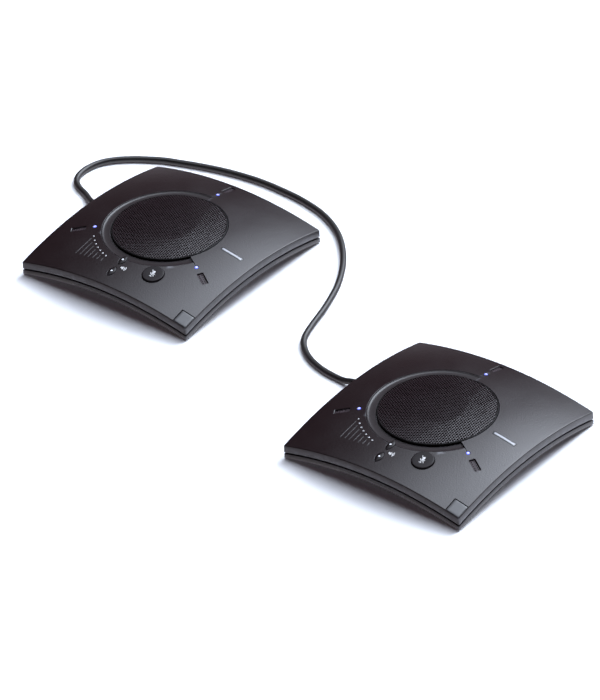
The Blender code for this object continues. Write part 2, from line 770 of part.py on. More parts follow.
def nameplate_corners():
    x, y = HALF - NAMEPLATE_FROM_SIDE, NAMEPLATE_Y
    length, width = NAMEPLATE_SIZE
    return (x - length / 2, y - width / 2), (x + length / 2, y + width / 2)


def badge_corners():
    outer = HALF - BADGE_MARGIN
    return (outer - BADGE_SIZE, -outer), (outer, BADGE_SIZE - outer)


def inlays(pod):
    """The plain bar on the right and the square at the front right corner."""
    lowest = GAP - INLAY_DEPTH
    for name, corners, colour in (
        ("nameplate", nameplate_corners(), PLATE_GREY),
        ("corner_badge", badge_corners(), BADGE_GREY),
    ):
        tile = add_tile(bmesh.new(), *corners, lowest + INLAY_THICKNESS, lowest)
        pod.add(name, tile, colour)


def feet(pod):
    reach = HALF - FOOT_FROM_SIDE
    for depth, y in (("front", -reach), ("back", reach)):
        for side, x in (("left", -reach), ("right", reach)):
            place = Matrix.Translation((x, y, 0))
            disc = rod(bmesh.new(), FOOT_RADIUS, 0, FLOOR_HEIGHT - GAP, sides=16)
            bevel(pod.add(f"foot_{depth}_{side}", disc, RUBBER, place), 0.0005, 1)


def speakerphone(name, centre, pieces, cutters):
    """One pod with all its pieces. Returns where its cord begins."""
    pod = Pod(name, centre, pieces, cutters)
    for build in (
        top_cover,
        base_cover,
        speaker_grille,
        grille_bezel,
        speaker,
        buttons,
        button_pad,
        main_board,
        stations,
        level_lights,
        inlays,
        sockets,
        link_plug,
        feet,
    ):
        build(pod)
    return Vector((*centre, 0)) + plug_tip()


def smooth_line(knots, step):
    """Points at even steps along a Catmull-Rom curve through the knots."""
    ends = [2 * knots[0] - knots[1]] + knots + [2 * knots[-1] - knots[-2]]
    fine = []
    for a, b, c, d in zip(ends, ends[1:], ends[2:], ends[3:]):
        for i in range(20):
            t = i / 20
            fine.append(
                0.5 * (2 * b + (c - a) * t + (2 * a - 5 * b + 4 * c - d) * t**2
                       + (3 * b - a - 3 * c + d) * t**3)
            )
    fine.append(knots[-1])
    reached = [0.0]
    for first, second in zip(fine, fine[1:]):
        reached.append(reached[-1] + (second - first).length)
    count = round(reached[-1] / step)
    line, j = [], 0
    for i in range(count):
        goal = reached[-1] * i / count
        while reached[j + 1] < goal:
            j += 1
        share = (goal - reached[j]) / (reached[j + 1] - reached[j])
        line.append(fine[j].lerp(fine[j + 1], share))
    return line + [fine[-1]]


def link_cord(start, end, pieces):
    """The cord: out of one boot, down to the table, along its route and up into the other."""
    route = [Vector((x, y, CORD_HEIGHT)) for x, y in CORD_ROUTE]
    out = [start + Vector(leg) for leg in CORD_OUT]
    back = [end + Vector(leg) for leg in CORD_BACK]
    lead = Vector((GAP, 0, 0))
    points = [start - lead] + smooth_line(out + route + back, CORD_STEP) + [end - lead]
    curve = bpy.data.curves.new("link_cord", "CURVE")
    curve.dimensions = "3D"
    curve.bevel_depth = CORD_DIAMETER / 2
    curve.bevel_resolution = 2
    curve.use_fill_caps = True
    line = curve.splines.new("POLY")
    line.points.add(len(points) - 1)
    for knot, point in zip(line.points, points):
        knot.co = (*point, 1)
    curve.materials.append(principled("link_cord", *CORD_BLACK))
    pieces.objects.link(bpy.data.objects.new("link_cord", curve))


def main():
    clear_scene()
    pieces, cutters = collection("speakerphone_pair"), collection("cutters")
    x, y = POD_OFFSET
    start = speakerphone("left", (-x, -y), pieces, cutters)
    end = speakerphone("right", (x, y), pieces, cutters)
    link_cord(start, end, pieces)


main()
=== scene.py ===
"""The linked pair of table speakerphones: finished pieces, materials, floor, light and camera."""

from math import atan2, cos, pi, radians, sin, sqrt

import bmesh
import bpy
from mathutils import Matrix, Vector


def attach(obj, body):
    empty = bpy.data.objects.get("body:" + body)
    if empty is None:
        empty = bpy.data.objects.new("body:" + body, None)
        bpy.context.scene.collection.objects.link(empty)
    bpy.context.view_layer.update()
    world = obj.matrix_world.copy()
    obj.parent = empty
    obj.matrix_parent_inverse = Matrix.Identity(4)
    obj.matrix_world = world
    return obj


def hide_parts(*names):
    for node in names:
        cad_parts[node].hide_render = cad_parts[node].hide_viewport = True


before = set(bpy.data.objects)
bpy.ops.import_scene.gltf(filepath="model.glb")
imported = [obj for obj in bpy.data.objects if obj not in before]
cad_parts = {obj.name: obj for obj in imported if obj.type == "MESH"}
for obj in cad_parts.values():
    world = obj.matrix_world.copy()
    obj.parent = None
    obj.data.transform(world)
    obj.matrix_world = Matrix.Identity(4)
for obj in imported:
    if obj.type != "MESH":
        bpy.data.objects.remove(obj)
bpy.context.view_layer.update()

# Sizes of the pair in metres, as the solid model has them
PODS = {"left": Vector((-0.23135, 0.05605, 0)), "right": Vector((0.23135, -0.05605, 0))}
HALF = 0.1175
GAP = 0.0003
ARCH, CROWN = 0.015, 0.0468
WALL, SKIRT, GROOVE = 0.0022, 0.0085, 0.002
LEDGE, LIP_BELOW_FACE = WALL + 0.0004, 0.0062
CORNER_LIFT, FLOOR_HEIGHT = 0.0008, 0.003
SLOPE_WIDTH = 0.0196
GRILLE_RADIUS, BEZEL_RADIUS = 0.0653, 0.0758
BEZEL_DIP, BEZEL_STEP, BEZEL_WALL = 0.003, 0.0004, 0.0016
BEZEL_START, BEZEL_SWEEP = radians(90), radians(240)
MUTE_AT, MUTE_RADIUS, MUTE_RISE = (0.04149, -0.07897), 0.0123, 0.002
VOLUME_AT = {"volume_up_button": (-0.00235, -0.07802), "volume_down_button": (-0.00235, -0.09762)}
VOLUME_LENGTH, VOLUME_WIDTH, VOLUME_RISE = 0.015, 0.008, 0.0012
BUTTON_DEPTH, BUTTON_FLANGE = 0.0038, 0.0011
LIGHT_RING, LIGHT_RADIUS = 0.08437, 0.0019
MIC_RING, MIC_SIZE = 0.10305, (0.017, 0.0068)
MIC_FLOOR, MIC_BOTTOM = 0.0016, 0.005
STATIONS = {"right": radians(-30), "back": radians(90), "left": radians(210)}
LEVEL_COUNT, LEVEL_PIP, LEVEL_SPAN = 7, 0.0009, (-0.06145, -0.0251)
NAMEPLATE = ((0.07395, -0.0015), (0.10245, 0.0035))
BADGE = ((0.0997, -0.1165), (0.1165, -0.0997))
INLAY_RISE = 0.0002
RECESS = ((-0.145, -0.003), (-0.0945, 0.046), 0.0147)
JACK_HEIGHT, JACK_Y, USB_Y = 0.01, 0.027, 0.0053
MOUTH = -HALF + 0.0225
PLUG_TIP = Vector((-HALF - 0.005, JACK_Y, JACK_HEIGHT))
CORD_DIAMETER = 0.007
CORD_HEIGHT = CORD_DIAMETER / 2 + 0.0001
FOOT_AT, FOOT_RADIUS = 0.085, 0.008

# Finer sizes, which only the visible pieces have
COVER_EASE, HOLE_EASE, CUT_DEPTH = 0.0009, 0.0005, 0.008
SEAM_WIDTH, SEAM_DEPTH = 0.0009, 0.0013
INLAY_DEPTH, TILE_GROOVE = 0.0016, 0.0009
MARK_AT = (0.006, -0.088)
PLATE_REACH, CLOTH_TOP, CLOTH_BOTTOM = 0.0642, -0.0009, -0.0013
SCREW_X, SCREW_Y, SCREW_WELL, WELL_TOP = 0.066, 0.085, 0.0034, 0.0042
SCREWS = [(x, y) for x in (SCREW_X, -SCREW_X) for y in (SCREW_Y, -SCREW_Y)]
CORD_STEP = 0.004

# The cord's route on the table, from the left pod round its back to the right pod
CORD_ROUTE = [
    (-0.4085, 0.1055), (-0.419, 0.1135), (-0.425, 0.125), (-0.4262, 0.1405),
    (-0.422, 0.157), (-0.4115, 0.1718), (-0.3946, 0.1855), (-0.3756, 0.1967),
    (-0.3549, 0.2058), (-0.3008, 0.2218), (-0.2525, 0.2288), (-0.2119, 0.2284),
    (-0.1768, 0.2245), (-0.1429, 0.2154), (-0.1109, 0.1985), (-0.0845, 0.1758),
    (-0.061, 0.1471), (-0.0409, 0.112), (-0.0258, 0.0715), (-0.0162, 0.037),
    (-0.0075, 0.0126), (0.0055, -0.0035), (0.0256, -0.0167), (0.05, -0.0248),
]
CORD_OUT = [(-0.006, 0, 0), (-0.016, 0.002, -0.0021), (-0.027, 0.008, -0.0049), (-0.04, 0.016, -0.0064)]
CORD_BACK = [(-0.032, 0.001, -0.006), (-0.017, 0, -0.002), (-0.006, 0, 0)]


# ---- shapes


def dome(x, y):
    """Height of the top face over a point of a pod's plan."""
    return CROWN - ARCH * (x * x + y * y) / HALF**2


def face_normal(x, y):
    slope = 2 * ARCH / HALF**2
    return Vector((slope * x, slope * y, 1)).normalized()


def on_face(point, heading=0.0):
    """Stands a piece square on the top face, with its X axis towards the heading."""
    up = face_normal(*point)
    along = Vector((cos(heading), sin(heading), 0))
    along = (along - up * along.dot(up)).normalized()
    turn = Matrix((along, up.cross(along), up)).transposed().to_4x4()
    return Matrix.Translation((*point, dome(*point))) @ turn


def ring_point(angle, radius):
    return radius * cos(angle), radius * sin(angle)


def circle(radius, sides):
    return [ring_point(2 * pi * i / sides, radius) for i in range(sides)]


def rectangle(length, width, corner=0.0, steps=3):
    """A rectangle about the origin, with rounded corners."""
    x, y = length / 2, width / 2
    sharp = [(x, -y), (x, y), (-x, y), (-x, -y)]
    return eased(sharp, corner, steps, True) if corner else sharp


def lens(length, width):
    """Two equal arcs that meet in a point at each end of the Y axis."""
    points = 14
    radius = (length**2 + width**2) / (4 * width)
    half_angle = atan2(length / 2, radius - width / 2)
    sweep = [half_angle * (2 * i / points - 1) for i in range(points)]
    right = [(radius * cos(a) - radius + width / 2, radius * sin(a)) for a in sweep]
    return right + [(-x, -y) for x, y in right]


def eased(points, radius, steps=3, closed=False):
    """The same line with each corner turned through a short curve."""
    made = []
    count = len(points)
    for i, point in enumerate(points):
        if not closed and i in (0, count - 1):
            made.append(tuple(point))
            continue
        here = Vector(point)
        before, after = Vector(points[i - 1]), Vector(points[(i + 1) % count])
        reach = min(radius, (before - here).length * 0.45, (after - here).length * 0.45)
        start = here + (before - here).normalized() * reach
        end = here + (after - here).normalized() * reach
        for j in range(steps + 1):
            t = j / steps
            made.append(tuple(start * (1 - t) ** 2 + here * 2 * t * (1 - t) + end * t * t))
    return made


def grown(outline, amount):
    """A convex outline moved outward by the amount, with its corners mitred."""
    made = []
    count = len(outline)
    for i, point in enumerate(outline):
        here = Vector(point)
        before = (here - Vector(outline[i - 1])).normalized()
        after = (Vector(outline[(i + 1) % count]) - here).normalized()
        mean = Vector((before.y + after.y, -before.x - after.x)).normalized()
        share = max(mean.dot(Vector((before.y, -before.x))), 0.35)
        made.append(tuple(here + mean * (amount / share)))
    return made


def stacked(outline, levels, place=Matrix()):
    """A closed body of rings over each other. Each level is (growth, height, scale)."""
    bm = bmesh.new()
    rings = []
    for growth, height, *scale in levels:
        share = scale[0] if scale else 1
        line = grown(outline, growth)
        rings.append([bm.verts.new(place @ Vector((x * share, y * share, height))) for x, y in line])
    bm.faces.new(list(reversed(rings[0])))
    bm.faces.new(rings[-1])
    for low, high in zip(rings, rings[1:]):
        for i in range(len(low)):
            j = (i + 1) % len(low)
            bm.faces.new((low[i], low[j], high[j], high[i]))
    return bm


def turned(profile, steps, closed=False, start=0.0, sweep=2 * pi, place=Matrix()):
    """A body turned about Z from a profile that runs down its outer side."""
    bm = bmesh.new()
    whole = sweep == 2 * pi
    rings = []
    for i in range(steps if whole else steps + 1):
        angle = start + sweep * i / steps
        spin = place @ Matrix.Rotation(angle, 4, "Z")
        rings.append([bm.verts.new(spin @ Vector((r, 0, z))) for r, z in profile])
    count = len(profile)
    for i in range(steps):
        here, there = rings[i], rings[(i + 1) % len(rings)]
        for j in range(count if closed else count - 1):
            k = (j + 1) % count
            bm.faces.new((here[j], here[k], there[k], there[j]))
    if closed and not whole:
        bm.faces.new(rings[0])
        bm.faces.new(list(reversed(rings[-1])))
    bmesh.ops.remove_doubles(bm, verts=bm.verts, dist=0.000004)
    bmesh.ops.recalc_face_normals(bm, faces=bm.faces)
    return bm


def block(low, high):
    """A box between two corners."""
    low, high = Vector(low), Vector(high)
    bm = bmesh.new()
    place = Matrix.Translation((low + high) / 2) @ Matrix.Diagonal((*(high - low), 1))
    bmesh.ops.create_cube(bm, size=1, matrix=place)
    return bm


def plain(bm, name):
    mesh = bpy.data.meshes.new(name)
    bm.to_mesh(mesh)
    bm.free()
    return mesh


def smoothed(mesh, sharp=35):
    """The mesh smooth, with its sharp edges marked."""
    mesh.shade_smooth()
    mesh.set_sharp_from_angle(angle=radians(sharp))
    return mesh


def mesh_of(bm, name, sharp=35):
    return smoothed(plain(bm, name), sharp)


def applied(obj):
    """The object's mesh with its modifiers applied. The object itself is removed."""
    graph = bpy.context.evaluated_depsgraph_get()
    mesh = bpy.data.meshes.new_from_object(obj.evaluated_get(graph))
    bpy.data.objects.remove(obj, do_unlink=True)
    return mesh


def loose(mesh):
    obj = bpy.data.objects.new(mesh.name, mesh)
    bpy.context.scene.collection.objects.link(obj)
    return obj


def rounded(mesh, width, segments=3, angle=50):
    """The mesh with its sharp edges rounded."""
    obj = loose(mesh)
    bevel = obj.modifiers.new("bevel", "BEVEL")
    bevel.width = width
    bevel.segments = segments
    bevel.limit_method = "ANGLE"
    bevel.angle_limit = radians(angle)
    return applied(obj)


def cut(mesh, *cutters, operation="DIFFERENCE"):
    """The mesh less each cutter, one after the other."""
    for cutter in cutters:
        obj, tool = loose(mesh), loose(cutter)
        boolean = obj.modifiers.new("cut", "BOOLEAN")
        boolean.object = tool
        boolean.operation = operation
        boolean.solver = "EXACT"
        mesh = applied(obj)
        bpy.data.objects.remove(tool, do_unlink=True)
    return smoothed(mesh)


# How near the dome a corner lies on it, and how near to the dome's normal it already points
ON_DOME, ALONG_DOME = 0.00002, 0.8


def true_normals(mesh):
    """Gives the corners that lie on the domed face the dome's own normals."""
    kept = [Vector(item.vector) for item in mesh.corner_normals]
    for loop in mesh.loops:
        point = mesh.vertices[loop.vertex_index].co
        if abs(point.z - dome(point.x, point.y)) < ON_DOME:
            normal = face_normal(point.x, point.y)
            if normal.dot(kept[loop.index]) > ALONG_DOME:
                kept[loop.index] = normal
    mesh.normals_split_custom_set(kept)
    return mesh


def square_sheet(segments, half, height_at):
    """An open square sheet of quads over a pod's plan."""
    bm = bmesh.new()
    bmesh.ops.create_grid(bm, x_segments=segments, y_segments=segments, size=half)
    for vert in bm.verts:
        vert.co.z = height_at(vert.co.x, vert.co.y)
    return bm


def smooth_line(knots, step):
    """Points at even steps along a Catmull-Rom curve through the knots."""
    ends = [2 * knots[0] - knots[1]] + knots + [2 * knots[-1] - knots[-2]]
    shares = [i / 20 for i in range(20)]
    fine = []
    for a, b, c, d in zip(ends, ends[1:], ends[2:], ends[3:]):
        square, cube = 2 * a - 5 * b + 4 * c - d, 3 * b - a - 3 * c + d
        fine += [0.5 * (2 * b + (c - a) * t + square * t**2 + cube * t**3) for t in shares]
    fine.append(knots[-1])
    reached = [0.0]
    for first, second in zip(fine, fine[1:]):
        reached.append(reached[-1] + (second - first).length)
    count = round(reached[-1] / step)
    line, j = [], 0
    for i in range(count):
        goal = reached[-1] * i / count
        while reached[j + 1] < goal:
            j += 1
        share = (goal - reached[j]) / (reached[j + 1] - reached[j])
        line.append(fine[j].lerp(fine[j + 1], share))
    return line + [fine[-1]]


# ---- materials


def node(tree, kind, inputs=None, **settings):
    """Adds a shader node. An input is a value, or a socket to link from."""
    made = tree.nodes.new("ShaderNode" + kind)
    for key, value in settings.items():
        setattr(made, key, value)
    for key, value in (inputs or {}).items():
        if isinstance(value, bpy.types.NodeSocket):
            tree.links.new(value, made.inputs[key])
        else:
            made.inputs[key].default_value = value
    return made


def group(name, given, *results):
    """A node group with one number given to it and named number results."""
    tree = bpy.data.node_groups.new(name, "ShaderNodeTree")
    tree.interface.new_socket(name=given, in_out="INPUT", socket_type="NodeSocketFloat")
    for key in results:
        tree.interface.new_socket(name=key, in_out="OUTPUT", socket_type="NodeSocketFloat")
    return tree, tree.nodes.new("NodeGroupInput").outputs, tree.nodes.new("NodeGroupOutput").inputs


def put_out(tree, out, **sockets):
    """Links a group's results to its outputs."""
    for key, socket in sockets.items():
        tree.links.new(socket, out[key])


def math(tree, operation, *values):
    return node(tree, "Math", dict(enumerate(values)), operation=operation).outputs[0]


def radius_of(tree, x, y):
    squares = [math(tree, "MULTIPLY", side, side) for side in (x, y)]
    return math(tree, "SQRT", math(tree, "ADD", *squares))


def own_place(tree):
    return node(tree, "TexCoord").outputs["Object"]


def noise(tree, where, scale, detail=2.0):
    return node(tree, "TexNoise", {"Vector": where, "Scale": scale, "Detail": detail}).outputs["Fac"]


def moulded_grain():
    """Fine pimples, slower waviness, and a soft cloudiness of tone."""
    tree, given, out = group("moulded_grain", "Scale", "Height", "Tone", "Gloss")
    where = own_place(tree)
    fine = noise(tree, where, given["Scale"], 1.0)
    wave = noise(tree, where, math(tree, "MULTIPLY", given["Scale"], 0.12))
    cloud = noise(tree, where, 22.0, 3.0)
    height = math(tree, "ADD", fine, math(tree, "MULTIPLY", wave, 0.5))
    tone = math(tree, "ADD", math(tree, "MULTIPLY", fine, 0.45), math(tree, "MULTIPLY", wave, 0.55))
    put_out(tree, out, Height=height, Tone=tone, Gloss=cloud)
    return tree


def edge_wear_and_highlight():
    """Where an outer edge is scuffed, broken up by noise; on the case the same mask paints a pale highlight
    along its edges.
    """
    tree, given, out = group("edge_wear_and_highlight", "Reach", "Mask")
    bend = node(tree, "NewGeometry").outputs["Pointiness"]
    rise = math(tree, "SUBTRACT", bend, given["Reach"])
    patch = noise(tree, own_place(tree), 160.0, 3.0)
    # The steep rise gives a thin line along sharp edges; on the case that line is a painted highlight.
    mask = math(tree, "MULTIPLY", math(tree, "MULTIPLY", rise, 18.0), patch)
    put_out(tree, out, Mask=node(tree, "Clamp", {0: mask}).outputs[0])
    return tree


def settled_dust():
    """A little dust where a surface faces up."""
    tree, given, out = group("settled_dust", "Amount", "Mask")
    facing = node(tree, "NewGeometry").outputs["Normal"]
    up = node(tree, "SeparateXYZ", {0: facing}).outputs["Z"]
    spots = math(tree, "POWER", noise(tree, own_place(tree), 1400.0, 4.0), 5.0)
    mask = math(tree, "MULTIPLY", math(tree, "MULTIPLY", spots, up), given["Amount"])
    put_out(tree, out, Mask=node(tree, "Clamp", {0: mask}).outputs[0])
    return tree


def cord_twist():
    """Shallow turns round the cord's jacket, along its length."""
    tree, given, out = group("cord_twist", "Scale", "Height", "Tone", "Gloss")
    parts = node(tree, "SeparateXYZ", {0: node(tree, "TexCoord").outputs["UV"]})
    along = math(tree, "MULTIPLY", parts.outputs["X"], given["Scale"])
    around = math(tree, "MULTIPLY", parts.outputs["Y"], 2 * pi)
    ridge = math(tree, "SINE", math(tree, "ADD", along, around))
    place = own_place(tree)
    speck = noise(tree, place, 900.0, 3.0)
    height = math(tree, "ADD", math(tree, "MULTIPLY", ridge, 0.5), speck)
    put_out(tree, out, Height=height, Tone=speck, Gloss=noise(tree, place, 60.0))
    return tree


def turned_rings():
    """Fine concentric marks about a pod's axis, as on a spun or pressed part."""
    tree, given, out = group("turned_rings", "Scale", "Height", "Tone", "Gloss")
    where = own_place(tree)
    parts = node(tree, "SeparateXYZ", {0: where})
    side = math(tree, "SIGN", parts.outputs["X"])
    x = math(tree, "SUBTRACT", parts.outputs["X"], math(tree, "MULTIPLY", side, PODS["right"].x))
    y = math(tree, "SUBTRACT", parts.outputs["Y"], math(tree, "MULTIPLY", side, PODS["right"].y))
    ring = math(tree, "SINE", math(tree, "MULTIPLY", radius_of(tree, x, y), given["Scale"]))
    speck = noise(tree, where, 500.0, 3.0)
    height = math(tree, "ADD", math(tree, "MULTIPLY", ring, 0.4), speck)
    put_out(tree, out, Height=height, Tone=speck, Gloss=noise(tree, where, 80.0))
    return tree


def board_tracks():
    """Copper tracks that run under the lacquer of a circuit board."""
    tree, given, out = group("board_tracks", "Scale", "Height", "Tone", "Gloss")
    where = own_place(tree)
    track = node(tree, "TexBrick", {"Vector": where, "Scale": given["Scale"]}).outputs["Fac"]
    put_out(tree, out, Height=track, Tone=track, Gloss=noise(tree, where, 300.0))
    return tree


GROUPS = {
    "grain": moulded_grain(),
    "wear_and_sheen": edge_wear_and_highlight(),
    "dust": settled_dust(),
    "twist": cord_twist(),
    "rings": turned_rings(),
    "tracks": board_tracks(),
}


def use(tree, name, **values):
    made = tree.nodes.new("ShaderNodeGroup")
    made.node_tree = GROUPS[name]
    for key, value in values.items():
        made.inputs[key].default_value = value
    return made.outputs


def mixed(tree, share, first, second):
    return node(tree, "Mix", {0: share, 6: first, 7: second}, data_type="RGBA").outputs[2]


def finish(name, dark, light, roughness, pattern="grain", scale=2600.0, depth=0.00004,
           worn_and_highlight_tone=None, dust=0.25, gloss=0.12, **constants):
    """One piece's material: two tones, a relief, scuffed edges (a painted highlight on the case's edges) and
    a trace of dust.
    """
    made = bpy.data.materials.new(name)
    made.use_nodes = True
    tree = made.node_tree
    shader = tree.nodes["Principled BSDF"]
    relief = use(tree, pattern, Scale=scale)
    wear_and_highlight_mask = use(tree, "wear_and_sheen", Reach=0.53)["Mask"]
    dusty = use(tree, "dust", Amount=dust)["Mask"]
    tint = mixed(tree, relief["Tone"], (*dark, 1), (*light, 1))
    # The edge colour is real scuffing on most pieces, and a painted highlight along the case's edges.
    tint = mixed(tree, wear_and_highlight_mask, tint, (*(worn_and_highlight_tone or [tone * 2.2 for tone in light]), 1))
    tint = mixed(tree, dusty, tint, (0.16, 0.15, 0.14, 1))
    tree.links.new(tint, shader.inputs["Base Color"])
    cloud = math(tree, "MULTIPLY", math(tree, "SUBTRACT", relief["Gloss"], 0.5), gloss)
    rough = math(tree, "ADD", math(tree, "ADD", cloud, roughness), math(tree, "MULTIPLY", dusty, 0.3))
    tree.links.new(rough, shader.inputs["Roughness"])
    bump = node(tree, "Bump", {"Strength": 0.5, "Distance": depth, "Height": relief["Height"]})
    tree.links.new(bump.outputs[0], shader.inputs["Normal"])
    for key, value in constants.items():
        shader.inputs[key.replace("_", " ")].default_value = value
    return made


def status_lens():
    """A light pipe that glows white at its middle and violet blue at its edge."""
    made = finish("status_lens", (0.03, 0.05, 0.4), (0.05, 0.08, 0.6), 0.2)
    tree = made.node_tree
    shader = tree.nodes["Principled BSDF"]
    parts = node(tree, "SeparateXYZ", {0: own_place(tree)})
    share = math(tree, "DIVIDE", radius_of(tree, parts.outputs["X"], parts.outputs["Y"]), LIGHT_RADIUS)
    glow = node(tree, "ValToRGB", {0: share})
    ramp = glow.color_ramp
    ramp.elements[0].position, ramp.elements[0].color = 0.25, (0.75, 0.78, 1, 1)
    ramp.elements[1].position, ramp.elements[1].color = 0.95, (0.10, 0.13, 0.62, 1)
    tree.links.new(glow.outputs[0], shader.inputs["Emission Color"])
    shader.inputs["Emission Strength"].default_value = 1.35
    return made


def make_finishes():
    """Every finish of the pair. The case's and the bezel's plastic share their two tones."""
    dark, light = (0.0048, 0.0010, 0.0016), (0.0080, 0.0028, 0.0038)
    return {
        # The case's pale edge colour paints a highlight along the cover's edges; it is not scuffing.
        "case": finish("case_plastic", dark, light, 0.33, "grain", 650.0, 0.0003,
                       worn_and_highlight_tone=(0.10, 0.10, 0.11), gloss=0.16),
        "bezel": finish("bezel_plastic", dark, light, 0.40, "grain", 1500.0, 0.00004,
                        worn_and_highlight_tone=(0.04, 0.037, 0.04), Specular_IOR_Level=0.4),
        "grille": finish(
            "grille_steel", (0.013, 0.006, 0.008), (0.022, 0.012, 0.015), 0.32,
            worn_and_highlight_tone=(0.03, 0.02, 0.022), dust=0.1, Specular_IOR_Level=0.7,
        ),
        # The rim's near-black colour, darker than the grille's steel, is painted shade on the folded edge.
        "rim": finish("rim_painted_shade", (0.001, 0.0008, 0.0009), (0.003, 0.0022, 0.0025), 0.5,
                      worn_and_highlight_tone=(0.008, 0.006, 0.006), dust=0.05, Specular_IOR_Level=0.12),
        "cloth": finish(
            "speaker_cloth", (0.002, 0.0016, 0.0018), (0.006, 0.005, 0.0055), 0.9,
            "grain", 5200.0, 0.0003, dust=0.05, Specular_IOR_Level=0.1,
        ),
        "key": finish("key_plastic", (0.004, 0.002, 0.0026), (0.008, 0.005, 0.006), 0.48, gloss=0.06,
                      worn_and_highlight_tone=(0.012, 0.009, 0.01), dust=0.1, Specular_IOR_Level=0.18),
        "blue": status_lens(),
        "white": finish(
            "level_lens", (0.62, 0.62, 0.64), (0.8, 0.8, 0.83), 0.3, worn_and_highlight_tone=(0.85, 0.85, 0.87),
            dust=0.1, Transmission_Weight=0.2,
        ),
        "print": finish(
            "printed_white", (0.55, 0.56, 0.58), (0.78, 0.79, 0.82), 0.45,
            "grain", 4200.0, 0.00001, worn_and_highlight_tone=(0.6, 0.6, 0.6), dust=0.1,
        ),
        "line": finish(
            "printed_grey", (0.26, 0.25, 0.26), (0.38, 0.37, 0.38), 0.45,
            "grain", 4200.0, 0.00001, worn_and_highlight_tone=(0.1, 0.1, 0.1), dust=0.1,
        ),
        "mic": finish("microphone_mesh", (0.005, 0.003, 0.0036), (0.02, 0.015, 0.017), 0.42,
                      "grain", 2200.0, 0.00012, dust=0.1, Specular_IOR_Level=0.16),
        "plate": finish(
            "plate_grey", (0.30, 0.31, 0.34), (0.42, 0.43, 0.46), 0.4,
            "grain", 1400.0, 0.00003, worn_and_highlight_tone=(0.45, 0.46, 0.5), dust=0.1,
        ),
        "badge": finish("badge_plastic", (0.018, 0.017, 0.019), (0.027, 0.026, 0.029), 0.34,
                        worn_and_highlight_tone=(0.08, 0.08, 0.085)),
        "cone": finish(
            "cone_paper", (0.008, 0.008, 0.008), (0.02, 0.019, 0.018), 0.85,
            "rings", 2400.0, 0.0001,
        ),
        "steel": finish(
            "pressed_steel", (0.30, 0.30, 0.31), (0.42, 0.42, 0.43), 0.38,
            "rings", 5200.0, 0.00002, worn_and_highlight_tone=(0.6, 0.6, 0.62), Metallic=1.0,
        ),
        "magnet": finish(
            "magnet_ferrite", (0.035, 0.035, 0.04), (0.07, 0.07, 0.075), 0.55,
            "rings", 3600.0, 0.00003, Metallic=0.6,
        ),
        "board": finish(
            "board_lacquer", (0.004, 0.05, 0.018), (0.012, 0.13, 0.05), 0.35,
            "tracks", 160.0, 0.00004, worn_and_highlight_tone=(0.3, 0.25, 0.12),
        ),
        "silicone": finish("pad_silicone", (0.2, 0.2, 0.21), (0.28, 0.28, 0.29), 0.68,
                           Subsurface_Weight=0.1),
        "rubber": finish("foot_rubber", (0.009, 0.009, 0.009), (0.018, 0.018, 0.018), 0.8, depth=0.0001),
        "socket": finish("socket_plastic", (0.008, 0.008, 0.008), (0.014, 0.014, 0.014), 0.42),
        "contact": finish(
            "contact_gold", (0.75, 0.52, 0.16), (0.9, 0.66, 0.25), 0.22,
            "grain", 6000.0, 0.00001, worn_and_highlight_tone=(0.95, 0.8, 0.5), Metallic=1.0,
        ),
        "screw": finish(
            "screw_steel", (0.22, 0.22, 0.23), (0.34, 0.34, 0.36), 0.3,
            "grain", 5200.0, 0.00001, worn_and_highlight_tone=(0.6, 0.6, 0.62), Metallic=1.0,
        ),
        "cord": finish(
            "cord_jacket", (0.006, 0.004, 0.004), (0.012, 0.009, 0.009), 0.45,
            "twist", 2600.0, 0.0001, worn_and_highlight_tone=(0.03, 0.027, 0.026), dust=0.15,
        ),
    }


FINISHES = make_finishes()


# ---- camera and cord


def set_camera():
    azimuth, elevation, roll = radians(40.91), radians(34.24), radians(-3.86)
    aim, distance = Vector((-0.00033, -0.00451, 0)), 7.42665
    level = cos(elevation)
    back = Vector((sin(azimuth) * level, -cos(azimuth) * level, sin(elevation)))
    data = bpy.data.cameras.new("camera")
    data.sensor_width, data.lens = 36, 351.39
    data.clip_start, data.clip_end = 0.1, 100
    obj = bpy.data.objects.new("camera", data)
    bpy.context.scene.collection.objects.link(obj)
    turn = back.to_track_quat("Z", "Y").to_matrix().to_4x4() @ Matrix.Rotation(roll, 4, "Z")
    obj.matrix_world = Matrix.Translation(aim + back * distance) @ turn
    bpy.context.scene.camera = obj


def lay_cord():
    """The cord: out of one boot, down to the table, along its route and up into the other."""
    start, end = PODS["left"] + PLUG_TIP, PODS["right"] + PLUG_TIP
    route = [Vector((x, y, CORD_HEIGHT)) for x, y in CORD_ROUTE]
    out = [start + Vector(leg) for leg in CORD_OUT]
    back = [end + Vector(leg) for leg in CORD_BACK]
    points = [start] + smooth_line(out + route + back, CORD_STEP) + [end]
    curve = bpy.data.curves.new("cord_jacket", "CURVE")
    curve.dimensions = "3D"
    curve.bevel_depth = CORD_DIAMETER / 2
    curve.bevel_resolution = 8
    curve.use_fill_caps = True
    spline = curve.splines.new("POLY")
    spline.points.add(len(points) - 1)
    for knot, point in zip(spline.points, points):
        knot.co = (*point, 1)
    spline.use_smooth = True
    curve.materials.append(FINISHES["cord"])
    obj = loose(curve)
    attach(obj, "pair")
    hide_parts("link_cord")


# ---- pieces


def fit(name, mesh, finish_name, nodes=(), body=None, place=Matrix()):
    """The same piece on both pods, riding its body and standing for its CAD nodes."""
    mesh.materials.clear()
    mesh.materials.append(FINISHES[finish_name])
    for side, centre in PODS.items():
        obj = bpy.data.objects.new(f"{side}_{name}", mesh)
        bpy.context.scene.collection.objects.link(obj)
        obj.matrix_world = Matrix.Translation(centre) @ place
        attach(obj, f"{side}_{body}" if body else "pair")
        if nodes:
            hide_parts(*[f"{side}_{key}" for key in nodes])


